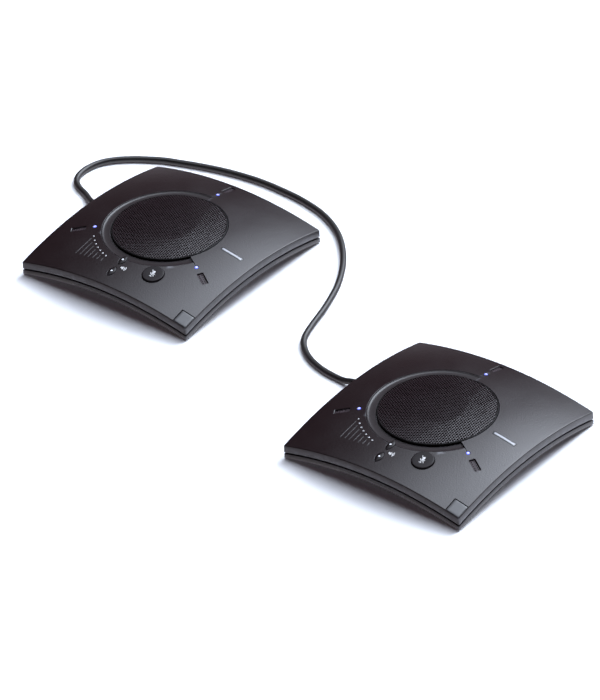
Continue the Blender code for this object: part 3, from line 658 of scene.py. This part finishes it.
def level_points():
    first, last = LEVEL_SPAN
    step = (last - first) / (LEVEL_COUNT - 1)
    across = [first + step * i for i in range(LEVEL_COUNT)]
    return [(x, -sqrt(LIGHT_RING**2 - x**2)) for x in across]


def opening(outline, place, chamfer):
    """A cutter through the face whose mouth is chamfered."""
    levels = [(0, -CUT_DEPTH), (0, -chamfer), (chamfer, 0), (chamfer + 0.001, 0.001)]
    return stacked(outline, levels, place)


def volume_opening(point, chamfer):
    return opening(lens(VOLUME_LENGTH + 0.0008, VOLUME_WIDTH + 0.0007), on_face(point), chamfer)


def joined(parts, name):
    """One mesh of several bmeshes that don't touch."""
    bm = bmesh.new()
    for part in parts:
        mesh = plain(part, "part")
        bm.from_mesh(mesh)
        bpy.data.meshes.remove(mesh)
    bmesh.ops.recalc_face_normals(bm, faces=bm.faces)
    return plain(bm, name)


def tile(low, high, top, bottom):
    """A slab that follows the dome, between two heights from it."""
    bm = bmesh.new()
    bmesh.ops.create_grid(bm, x_segments=6, y_segments=6, size=0.5)
    for vert in bm.verts:
        vert.co.x = low[0] + (vert.co.x + 0.5) * (high[0] - low[0])
        vert.co.y = low[1] + (vert.co.y + 0.5) * (high[1] - low[1])
        vert.co.z = dome(vert.co.x, vert.co.y) + bottom
    made = bmesh.ops.extrude_face_region(bm, geom=bm.faces[:])["geom"]
    for vert in (item for item in made if isinstance(item, bmesh.types.BMVert)):
        vert.co.z += top - bottom
    bmesh.ops.recalc_face_normals(bm, faces=bm.faces)
    return bm


def spread(corners, amount):
    (a, b), (c, d) = corners
    return (a - amount, b - amount), (c + amount, d + amount)


def face_openings():
    """Every small opening in the face, each with its own chamfer."""
    parts = [opening(circle(MUTE_RADIUS + 0.00035, 64), on_face(MUTE_AT), 0.0005)]
    parts += [volume_opening(point, 0.0003) for point in VOLUME_AT.values()]
    for angle in STATIONS.values():
        light, slot = circle(LIGHT_RADIUS + GAP, 24), rectangle(*MIC_SIZE, 0.0006)
        parts.append(opening(light, on_face(ring_point(angle, LIGHT_RING)), 0.0004))
        parts.append(opening(slot, on_face(ring_point(angle, MIC_RING), angle), 0.0006))
    for point in level_points():
        parts.append(opening(circle(LEVEL_PIP + GAP, 16), on_face(point), 0.00015))
    for corners in (NAMEPLATE, BADGE):
        parts.append(tile(*spread(corners, GAP), 0.004, -INLAY_DEPTH))
    return joined(parts, "face_openings")


def seams():
    """The two thin grooves that run on from the bezel's ends to their lights."""
    parts = []
    for angle in (STATIONS["right"], STATIONS["back"]):
        near, far = BEZEL_RADIUS - 0.001, LIGHT_RING - LIGHT_RADIUS - 0.0002
        groove = rectangle(far - near, SEAM_WIDTH)
        place = on_face(ring_point(angle, (near + far) / 2), angle)
        parts.append(stacked(groove, [(0, -SEAM_DEPTH), (0, 0.002)], place))
    return joined(parts, "seams")


def cover():
    """The domed shell with rounded edges and every opening."""
    bm = square_sheet(72, HALF, dome)
    bmesh.ops.extrude_edge_only(bm, edges=[e for e in bm.edges if e.is_boundary])
    for vert in {v for e in bm.edges if e.is_boundary for v in e.verts}:
        vert.co.z -= SKIRT
    bmesh.ops.recalc_face_normals(bm, faces=bm.faces)
    obj = loose(rounded(plain(bm, "cover_shell"), COVER_EASE))
    shell = obj.modifiers.new("shell", "SOLIDIFY")
    shell.thickness, shell.offset, shell.use_even_offset = WALL, -1, True
    hole, ease, above = GRILLE_RADIUS + GAP, HOLE_EASE, 0.06
    edge = dome(hole, 0)
    round_hole = [(0, above), (GRILLE_RADIUS + 0.006, above), (hole + ease, edge), (hole, edge - ease),
                  (hole, 0.03), (0, 0.03)]
    inner, outer = GRILLE_RADIUS - 0.002, BEZEL_RADIUS + GAP
    edge = dome(BEZEL_RADIUS, 0)
    ring = [(inner, 0.02), (inner, above), (BEZEL_RADIUS + 0.006, above), (outer + ease, edge),
            (outer, edge - ease), (outer, 0.02)]
    slack = GAP / GRILLE_RADIUS
    return cut(
        applied(obj),
        plain(turned(round_hole, 160), "round_hole"),
        plain(turned(ring, 110, True, BEZEL_START - slack, BEZEL_SWEEP + 2 * slack), "ring_hole"),
        seams(),
        face_openings(),
    )


def base_height(x, y):
    """Height of the underside: level in the middle, and arched along each side."""
    far, near = max(abs(x), abs(y)), min(abs(x), abs(y))
    edge = CORNER_LIFT + ARCH * (1 - (near / far) ** 2) if far else FLOOR_HEIGHT
    inward = min((HALF - far) / SLOPE_WIDTH, 1)
    return edge + (FLOOR_HEIGHT - edge) * inward


def raise_faces(bm, faces, reach, below):
    """Copies the faces up to a height under the dome, drawn in to the reach."""
    made = bmesh.ops.extrude_face_region(bm, geom=faces)["geom"]
    for vert in (item for item in made if isinstance(item, bmesh.types.BMVert)):
        vert.co.z = dome(vert.co.x, vert.co.y) - below
        vert.co.x = max(-reach, min(reach, vert.co.x))
        vert.co.y = max(-reach, min(reach, vert.co.y))
    return [item for item in made if isinstance(item, bmesh.types.BMFace)]


def base_block(inset, lip_extra, ease):
    """The base as one closed block: underside, band, ledge and lip."""
    half = HALF - inset
    stretch = HALF / half
    bm = square_sheet(48, half, lambda x, y: base_height(x * stretch, y * stretch) + inset)
    band_top = SKIRT + GROOVE + inset
    band = raise_faces(bm, bm.faces[:], half, band_top)
    ledge = raise_faces(bm, band, half - LEDGE, band_top)
    bmesh.ops.delete(bm, geom=band, context="FACES")
    raise_faces(bm, ledge, half - LEDGE, LIP_BELOW_FACE - lip_extra)
    bmesh.ops.delete(bm, geom=ledge, context="FACES")
    bmesh.ops.recalc_face_normals(bm, faces=bm.faces)
    mesh = plain(bm, "base_block")
    if ease:
        mesh = rounded(mesh, ease, 2, 60)
    bm = bmesh.new()
    bm.from_mesh(mesh)
    bmesh.ops.triangulate(bm, faces=bm.faces)
    return plain(bm, "base_block")


def base():
    """The tray: the block, less its hollow, the socket recess, windows and screw wells."""
    (x0, y0), (x1, y1), top = RECESS
    hollow = cut(
        base_block(WALL, 0.006, 0),
        plain(block((x0, y0 - WALL, -0.02), (x1 + WALL, y1 + WALL, top + WALL)), "around"),
    )
    near = MOUTH - 0.003
    windows = [
        block((near, JACK_Y - 0.0083, 0.0052), (MOUTH + 0.018, JACK_Y + 0.0083, 0.0148)),
        block((near, USB_Y - 0.0049, 0.0094), (MOUTH + 0.010, USB_Y + 0.0049, 0.0148)),
    ]
    well = circle(SCREW_WELL, 24)
    wells = [stacked(well, [(0, -0.01), (0, WELL_TOP)], Matrix.Translation((x, y, 0))) for x, y in SCREWS]
    return cut(
        base_block(0, 0, 0.0006),
        plain(block((x0, y0, -0.02), (x1, y1, top)), "recess"),
        hollow,
        joined(windows, "windows"),
        joined(wells, "wells"),
    )


def grille_plate():
    """The perforated disc: hexagon cells, each with a round hole whose edge is eased."""
    pitch, hole, ease, reach = 0.003, 0.0012, 0.00016, PLATE_REACH
    across = pitch * sqrt(0.75)
    spokes = [radians(30 * i) for i in range(12)]
    edge = [pitch / 2 if i % 2 else pitch / sqrt(3) for i in range(12)]
    rings = [(edge, 0.0), ([hole + ease] * 12, 0.0), ([hole] * 12, -0.0002), ([hole] * 12, -0.0008)]
    points, faces = [], []
    columns, rows = int(reach / across) + 1, int(reach / pitch) + 2
    for column in range(-columns, columns + 1):
        for row in range(-rows, rows + 1):
            x, y = column * across, (row + 0.5 * (column % 2)) * pitch
            if sqrt(x * x + y * y) > reach:
                continue
            first = len(points)
            for reaches, height in rings:
                for angle, length in zip(spokes, reaches):
                    px, py = x + length * cos(angle), y + length * sin(angle)
                    shrink = min(1, reach / sqrt(px * px + py * py))
                    px, py = px * shrink, py * shrink
                    points.append((px, py, dome(px, py) + height))
            for ring in range(3):
                for i in range(12):
                    j = (i + 1) % 12
                    a, b = first + ring * 12, first + ring * 12 + 12
                    faces.append((a + i, a + j, b + j, b + i))
    mesh = bpy.data.meshes.new("grille_plate")
    mesh.from_pydata(points, [], faces)
    mesh.validate()
    return smoothed(mesh, 50)


def follow(profile):
    """A profile whose heights are counted from the dome."""
    return [(r, dome(r, 0) + z) for r, z in profile]


def grille_rim():
    """The plate's edge, folded down into the cover's opening; its near-black finish is painted shade on that
    edge.
    """
    r = GRILLE_RADIUS
    outline = [(r - 0.0017, -0.0007), (r - 0.0014, 0.00006), (r - 0.0008, 0.00006), (r - 0.0002, -0.0004),
               (r, -0.0012), (r, -0.003), (r - 0.0008, -0.003), (r - 0.0008, -0.0012)]
    return mesh_of(turned(eased(follow(outline), 0.0002, 2, True), 160, True), "grille_rim")


def grille_cloth():
    """The cloth just under the plate, which follows the dome."""
    reaches = (0, 0.03, PLATE_REACH)
    outline = [(r, CLOTH_TOP) for r in reaches] + [(r, CLOTH_BOTTOM) for r in reversed(reaches)]
    return mesh_of(turned(follow(outline), 96), "grille_cloth")


# The cove's line: share of the way in from the lip, and its height under the lip
BEZEL_COVE = [(0.05, -0.00034), (0.11, -0.00066), (0.18, -0.00086), (0.27, -0.00094), (0.55, -0.00096),
              (0.75, -0.00093), (1, -0.00088)]


def bezel_ring():
    """The cove round the grille, from a rounded lip down to the grille's rim."""
    inner, outer, ease = GRILLE_RADIUS + GAP, BEZEL_RADIUS, 0.0003
    lip, top = outer - 3 * ease, dome(outer, 0) - BEZEL_STEP
    foot = dome(inner, 0) - BEZEL_DIP - BEZEL_WALL
    outline = [(outer, top - 0.001), (outer, top - ease), (outer - ease, top), (lip, top)]
    outline += [(lip + (inner - lip) * along, top + height) for along, height in BEZEL_COVE]
    outline += [(inner, foot), (outer - 0.002, top - 0.0034), (outer, top - 0.0026)]
    slack = GAP / GRILLE_RADIUS
    ring = turned(outline, 140, True, BEZEL_START + slack / 2, BEZEL_SWEEP - slack)
    notch = volume_opening(VOLUME_AT["volume_up_button"], 0.0002)
    return cut(plain(ring, "bezel_ring"), plain(notch, "bezel_notch"))


def mute_cap():
    """A flat round key with an eased rim and a flange below."""
    r, top, flange = MUTE_RADIUS, MUTE_RISE, MUTE_RADIUS + BUTTON_FLANGE
    step = -WALL - GAP - 0.0002
    outline = [(0, top - 0.0003), (r * 0.5, top - 0.00028), (r - 0.0013, top - 0.0002),
               (r - 0.0007, top - 0.00028), (r - 0.0002, top - 0.0007), (r, top - 0.0013),
               (r, step), (flange, step), (flange, -BUTTON_DEPTH), (0, -BUTTON_DEPTH)]
    return mesh_of(turned(outline, 72), "mute_cap", 50)


def volume_cap():
    """A domed almond-shaped key."""
    levels = [(0, -BUTTON_DEPTH), (0, 0.0)]
    levels += [(0, VOLUME_RISE * (1 - s**2.6), s) for s in (0.97, 0.92, 0.85, 0.75, 0.6, 0.4, 0.2)]
    return mesh_of(stacked(lens(VOLUME_LENGTH, VOLUME_WIDTH), levels), "volume_cap", 60)


def dot_cap():
    """The white dot on a volume key, let a little into its crown."""
    r, top = 0.0013, VOLUME_RISE
    outline = [(0, top + 0.00012), (0.0008, top + 0.0001), (r - 0.0001, top),
               (r, top - 0.0002), (r, top - 0.0008), (0, top - 0.0008)]
    return mesh_of(turned(outline, 24), "volume_dot", 60)


def flat_mark(shapes, name, height, thickness):
    """Printed shapes, as thin plates at one height."""
    plates = [stacked(shape, [(0, height - thickness), (0, height)]) for shape in shapes]
    return smoothed(joined(plates, name))


def arc_band(centre, radius, width, start, end):
    """Short straight pieces that make an arc."""
    steps, made = 6, []
    for i in range(steps):
        a, b = start + (end - start) * i / steps, start + (end - start) * (i + 1) / steps
        inner, outer = radius - width / 2, radius + width / 2
        ring = [(inner, a), (outer, a), (outer, b), (inner, b)]
        made.append([(centre[0] + r * cos(t), centre[1] + r * sin(t)) for r, t in ring])
    return made


def bar(start, end, width):
    """A straight stroke between two points."""
    a, b = Vector(start), Vector(end)
    side = (b - a).orthogonal().normalized() * width / 2
    return [tuple(a + side), tuple(a - side), tuple(b - side), tuple(b + side)]


def mute_mark():
    """A plain microphone with a stroke across it."""
    capsule = [(x, y + 0.0014) for x, y in rectangle(0.0027, 0.0052, 0.0012, 4)]
    stroke = 0.0007
    shapes = [capsule, bar((0, -0.0046), (0, -0.0030), stroke)]
    shapes.append(bar((-0.0016, -0.0048), (0.0016, -0.0048), stroke))
    shapes += arc_band((0, 0.0006), 0.0028, stroke, radians(190), radians(350))
    shapes.append(bar((-0.0034, 0.0046), (0.0034, -0.0040), stroke))
    return flat_mark(shapes, "mute_mark", MUTE_RISE - 0.00018, 0.00016)


def volume_mark():
    """A plain loudspeaker with two waves."""
    magnet = [(-0.0030, -0.0010), (-0.0017, -0.0010), (-0.0017, 0.0010), (-0.0030, 0.0010)]
    horn = [(-0.0016, -0.0009), (0.0004, -0.0025), (0.0004, 0.0025), (-0.0016, 0.0009)]
    shapes = [magnet, horn]
    for radius in (0.0022, 0.0038):
        shapes += arc_band((0, 0), radius, 0.0008, radians(-48), radians(48))
    return flat_mark(shapes, "volume_mark", 0.00006, 0.00008)


def level_lines():
    """The printed line under each level light, laid on the dome."""
    bm = bmesh.new()
    for x, y in level_points():
        top, bottom, steps, half = y - 0.004, -0.0895, 4, 0.0003
        for i in range(steps):
            a, b = top + (bottom - top) * i / steps, top + (bottom - top) * (i + 1) / steps
            corners = [(x - half, b), (x + half, b), (x + half, a), (x - half, a)]
            low = [bm.verts.new((u, v, dome(u, v) - 0.00004)) for u, v in corners]
            high = [bm.verts.new((u, v, dome(u, v) + 0.00005)) for u, v in corners]
            bm.faces.new(list(reversed(low)))
            bm.faces.new(high)
            for j in range(4):
                k = (j + 1) % 4
                bm.faces.new((low[j], low[k], high[k], high[j]))
    return mesh_of(bm, "level_lines")


def level_pips():
    """The seven small lenses, each rounded where it stands out of the face."""
    levels = [(0, -0.0035), (0, -0.00005), (-0.0001, 0.00008), (-0.0004, 0.00016)]
    parts = []
    for point in level_points():
        parts.append(stacked(circle(LEVEL_PIP, 16), levels, on_face(point)))
    return smoothed(joined(parts, "level_pips"), 50)


def status_pipe():
    """A light pipe with a crowned end, and a flange under the cover."""
    r, flange, step = LIGHT_RADIUS, LIGHT_RADIUS * 1.6, -WALL - 0.0006
    outline = [(0, 0.0004), (r * 0.4, 0.00034), (r * 0.75, 0.0002), (r * 0.95, 0.00004), (r, -0.0002),
               (r, step), (flange, step), (flange, -0.005), (0, -0.005)]
    return mesh_of(turned(outline, 32), "status_pipe", 60)


def mic_floor():
    """A microphone's floor just below the face, with its rows of sound holes."""
    length, width = MIC_SIZE[0] / 2 - GAP, MIC_SIZE[1] / 2 - GAP
    bm = block((-length, -width, -MIC_BOTTOM), (length, width, -MIC_FLOOR))
    floor = rounded(plain(bm, "mic_floor"), 0.0002, 2)
    hole = circle(0.00055, 12)
    holes = [
        stacked(hole, [(0, -0.0035), (0, 0.001)], Matrix.Translation((x * 0.003, y, 0)))
        for x in range(-2, 3) for y in (-0.0016, 0.0016)
    ]
    return cut(floor, joined(holes, "sound_holes"))


def inlay(corners, name, groove=0.0):
    """A tile in its pocket, drawn back from its two inner sides by the groove."""
    (a, b), (c, d) = corners
    bm = tile((a + groove, b), (c, d - groove), INLAY_RISE, GAP - INLAY_DEPTH)
    return smoothed(rounded(plain(bm, name), 0.00022, 2, 60), 40)


def plate_stripe():
    """A plain pale bar laid into the middle of the plate at the right."""
    (a, b), (c, d) = NAMEPLATE
    bm = tile((a + 0.0012, b + 0.0013), (c - 0.0012, d - 0.0013), INLAY_RISE + 0.0001, -0.0002)
    return smoothed(rounded(plain(bm, "plate_stripe"), 0.00008, 2, 60), 40)


def foot_pad():
    """A rubber foot, eased at its edge and with a shallow ring underneath."""
    r, top, ring = FOOT_RADIUS, FLOOR_HEIGHT - GAP, 0.0005
    outline = [(0, top), (r - 0.0004, top), (r, top - 0.0004), (r, 0.0007), (r - 0.0007, 0),
               (r - 0.0024, 0), (r - 0.0028, ring), (r - 0.0036, ring), (r - 0.004, 0), (0, 0)]
    return mesh_of(turned(eased(outline, 0.0002, 2), 40), "foot_pad")


def case_screw():
    """A countersunk case screw with a cross socket."""
    r, shank, sunk = 0.0027, 0.0014, 0.0022
    head = [(0, -0.0005), (0.0022, -0.0004), (r, 0), (r, 0.0006), (shank, 0.002), (shank, 0.006), (0, 0.006)]
    body = plain(turned([(reach, z + sunk) for reach, z in head], 28), "case_screw")
    bars = [(0.0014, 0.0003), (0.0003, 0.0014)]
    return cut(body, *[plain(block((-x, -y, 0), (x, y, 0.0029)), "cross") for x, y in bars])


def jack_shell():
    """The modular socket: its shell, mouth and latch slot."""
    low, high = (MOUTH, JACK_Y - 0.008, 0.0055), (MOUTH + 0.017, JACK_Y + 0.008, 0.0145)
    shell = rounded(plain(block(low, high), "jack_shell"), 0.0004, 2)
    near = MOUTH - 0.001
    mouth = block((near, JACK_Y - 0.0061, 0.0065), (MOUTH + 0.0112, JACK_Y + 0.0061, 0.0135))
    latch = block((near, JACK_Y - 0.0016, 0.006), (MOUTH + 0.006, JACK_Y + 0.0016, 0.008))
    return cut(shell, plain(mouth, "mouth"), plain(latch, "latch"))


def jack_contacts():
    """Eight gilt contacts in a row at the back of the mouth."""
    pitch, half = 0.00102, 0.00016
    parts = []
    for i in range(8):
        y = JACK_Y + pitch * (i - 3.5)
        parts.append(block((MOUTH + 0.0115, y - half, 0.0125), (MOUTH + 0.0125, y + half, 0.0136)))
    return smoothed(joined(parts, "jack_contacts"))


def usb_shell():
    """The computer socket: its shell and its rounded mouth."""
    low, high = (MOUTH, USB_Y - 0.0046, 0.0097), (MOUTH + 0.009, USB_Y + 0.0046, 0.0145)
    shell = rounded(plain(block(low, high), "usb_shell"), 0.0003, 2)
    outline = rectangle(0.0069, 0.0031, 0.0006)
    inward = Matrix(((0, 0, 1), (1, 0, 0), (0, 1, 0))).to_4x4()
    place = Matrix.Translation((MOUTH, USB_Y, 0.0121)) @ inward
    mouth = stacked(outline, [(0.0003, -0.001), (0.0003, 0), (0, 0.0003), (0, 0.0060)], place)
    return cut(shell, plain(mouth, "mouth"))


def usb_tongue():
    bm = block((MOUTH + 0.0012, USB_Y - 0.0027, 0.0117), (MOUTH + 0.0059, USB_Y + 0.0027, 0.0124))
    return smoothed(rounded(plain(bm, "usb_tongue"), 0.0001, 2))


def plug_boot():
    """The plug's nose and the ribbed boot that grips the cord."""
    tip = PLUG_TIP
    nose = block((tip.x + 0.012, tip.y - 0.0058, tip.z - 0.0032),
                 (MOUTH + 0.0107, tip.y + 0.0058, tip.z + 0.0032))
    nose = rounded(plain(nose, "plug_nose"), 0.0004, 2)
    along = Matrix.Translation(tip) @ Matrix.Rotation(pi / 2, 4, "Y")
    end, rib, dip = MOUTH - tip.x - GAP, 0.0042, 0.0038
    profile = [(0, end), (rib, end), (rib, 0.0145)]
    for i in range(5):
        z = 0.0135 - i * 0.0024
        profile += [(rib, z), (dip, z - 0.0004), (dip, z - 0.001), (rib, z - 0.0014)]
    profile += [(0.00405, 0.0006), (dip, 0.0), (0, 0)]
    boot = plain(turned(profile, 40, place=along), "boot")
    return cut(nose, boot, operation="UNION")


# The pieces inside, with the finish and the slot of each
INSIDE = {
    "speaker_frame": ("steel", "steel"),
    "speaker_cone": ("cone", "cone_paper"),
    "speaker_magnet": ("magnet", "magnet"),
    "main_board": ("board", "board"),
    "jack_board": ("board", "board"),
    "button_pad": ("silicone", "silicone"),
}


def fit_pieces():
    """Every piece outside, on both pods."""
    fit("cover_shell", true_normals(cover()), "case", ["top_cover"])
    fit("base_tray", base(), "case", ["base_cover"])
    fit("grille_plate", grille_plate(), "grille", ["speaker_grille"])
    fit("grille_rim", grille_rim(), "rim")
    fit("grille_cloth", grille_cloth(), "cloth")
    fit("bezel_ring", bezel_ring(), "bezel", ["grille_bezel"])
    place = on_face(MUTE_AT)
    fit("mute_cap", mute_cap(), "key", ["mute_button"], "mute_button", place)
    fit("mute_mark", mute_mark(), "print", (), "mute_button", place)
    cap, dot = volume_cap(), dot_cap()
    for node_name, point in VOLUME_AT.items():
        word = node_name.split("_")[1]
        place = on_face(point)
        fit(f"volume_{word}_cap", cap, "key", [node_name], node_name, place)
        fit(f"volume_{word}_dot", dot, "print", (), node_name, place)
    fit("volume_mark", volume_mark(), "print", place=on_face(MARK_AT))
    fit("level_lines", level_lines(), "line")
    fit("level_pips", level_pips(), "white", ["level_lights"])
    pipe, floor = status_pipe(), mic_floor()
    for side, angle in STATIONS.items():
        fit(f"status_pipe_{side}", pipe, "blue", [f"status_light_{side}"],
            place=on_face(ring_point(angle, LIGHT_RING)))
        fit(f"mic_floor_{side}", floor, "mic", [f"microphone_{side}"],
            place=on_face(ring_point(angle, MIC_RING), angle))
    fit("plain_plate", inlay(NAMEPLATE, "plain_plate"), "badge", ["nameplate"])
    fit("plate_stripe", plate_stripe(), "plate")
    fit("corner_tile", inlay(BADGE, "corner_tile", TILE_GROOVE), "badge", ["corner_badge"])
    pad, screw = foot_pad(), case_screw()
    for depth, y in (("front", -FOOT_AT), ("back", FOOT_AT)):
        for side, x in (("left", -FOOT_AT), ("right", FOOT_AT)):
            fit(f"foot_pad_{depth}_{side}", pad, "rubber",
                [f"foot_{depth}_{side}"], place=Matrix.Translation((x, y, 0)))
    for i, (x, y) in enumerate(SCREWS, 1):
        fit(f"case_screw_{i}", screw, "screw", place=Matrix.Translation((x, y, 0)))
    fit("jack_shell", jack_shell(), "socket", ["link_jack"])
    fit("jack_contacts", jack_contacts(), "contact")
    fit("usb_shell", usb_shell(), "socket", ["usb_jack"])
    fit("usb_tongue", usb_tongue(), "contact")
    fit("plug_boot", plug_boot(), "socket", ["link_plug"])


def finish_inside():
    """Materials for the pieces inside, which keep their solid model's shape."""
    for side in PODS:
        for key, (finish_name, slot) in INSIDE.items():
            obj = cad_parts[f"{side}_{key}"]
            obj.data.materials.clear()
            obj.data.materials.append(FINISHES[finish_name])


# ---- floor and light


def lay_floor():
    """Pale paper, which the gloss of the object doesn't mirror."""
    bm = bmesh.new()
    bmesh.ops.create_grid(bm, x_segments=8, y_segments=8, size=20)
    mesh = plain(bm, "floor")
    made = bpy.data.materials.new("floor_paper")
    made.use_nodes = True
    tree = made.node_tree
    shader = tree.nodes["Principled BSDF"]
    where = own_place(tree)
    tone = mixed(tree, noise(tree, where, 3.0, 2.0), (0.86, 0.865, 0.88, 1), (0.88, 0.885, 0.9, 1))
    tree.links.new(tone, shader.inputs["Base Color"])
    shader.inputs["Roughness"].default_value = 0.9
    shader.inputs["Specular IOR Level"].default_value = 0.0
    mesh.materials.append(made)
    obj = loose(mesh)
    obj.visible_glossy = False


# Each soft light's azimuth from +X and elevation in degrees, and its strength
SOFT_LIGHTS = [(80, 50, 14.5), (80, 35, 8.0), (120, 78, 7.2)]
LOBE_SHARPNESS = 25.0


def sky_lobe(tree, way, towards, strength):
    """A soft round patch of light in the sky, whose edge fades out."""
    lean = node(tree, "VectorMath", {0: way, 1: towards}, operation="DOT_PRODUCT").outputs["Value"]
    fall = math(tree, "MULTIPLY", math(tree, "SUBTRACT", lean, 1.0), LOBE_SHARPNESS)
    return math(tree, "MULTIPLY", math(tree, "EXPONENT", fall), strength)


def eased_share(tree, value, low, high):
    limits = {0: value, 1: low, 2: high, 3: 0.0, 4: 1.0}
    return node(tree, "MapRange", limits, interpolation_type="SMOOTHSTEP").outputs[0]


def light_studio():
    """A dark studio with broad soft lights behind and above, and a pale glow from below."""
    world = bpy.data.worlds.new("studio")
    bpy.context.scene.world = world
    world.use_nodes = True
    tree = world.node_tree
    sky = tree.nodes["Background"]
    way = node(tree, "TexCoord").outputs["Generated"]
    parts = node(tree, "SeparateXYZ", {0: way})
    light = 0.0
    for azimuth, elevation, strength in SOFT_LIGHTS:
        a, e = radians(azimuth), radians(elevation)
        towards = (cos(e) * cos(a), cos(e) * sin(a), sin(e))
        light = math(tree, "ADD", light, sky_lobe(tree, way, towards, strength))
    below = eased_share(tree, parts.outputs["Z"], 0.2, -0.5)
    rightward = eased_share(tree, parts.outputs["X"], -0.5, 0.6)
    white = node(tree, "VectorMath", {0: (0.92, 1.0, 1.13), 3: light}, operation="SCALE").outputs[0]
    dim = node(tree, "VectorMath", {0: white, 1: (0.034, 0.014, 0.018)}, operation="ADD").outputs[0]
    floor = mixed(tree, rightward, (0.85, 0.8, 0.88, 1), (2.1, 2.2, 2.5, 1))
    tree.links.new(mixed(tree, below, dim, floor), sky.inputs["Color"])


set_camera()
fit_pieces()
finish_inside()
lay_cord()
lay_floor()
light_studio()
bpy.context.scene.view_settings.view_transform = "Standard"
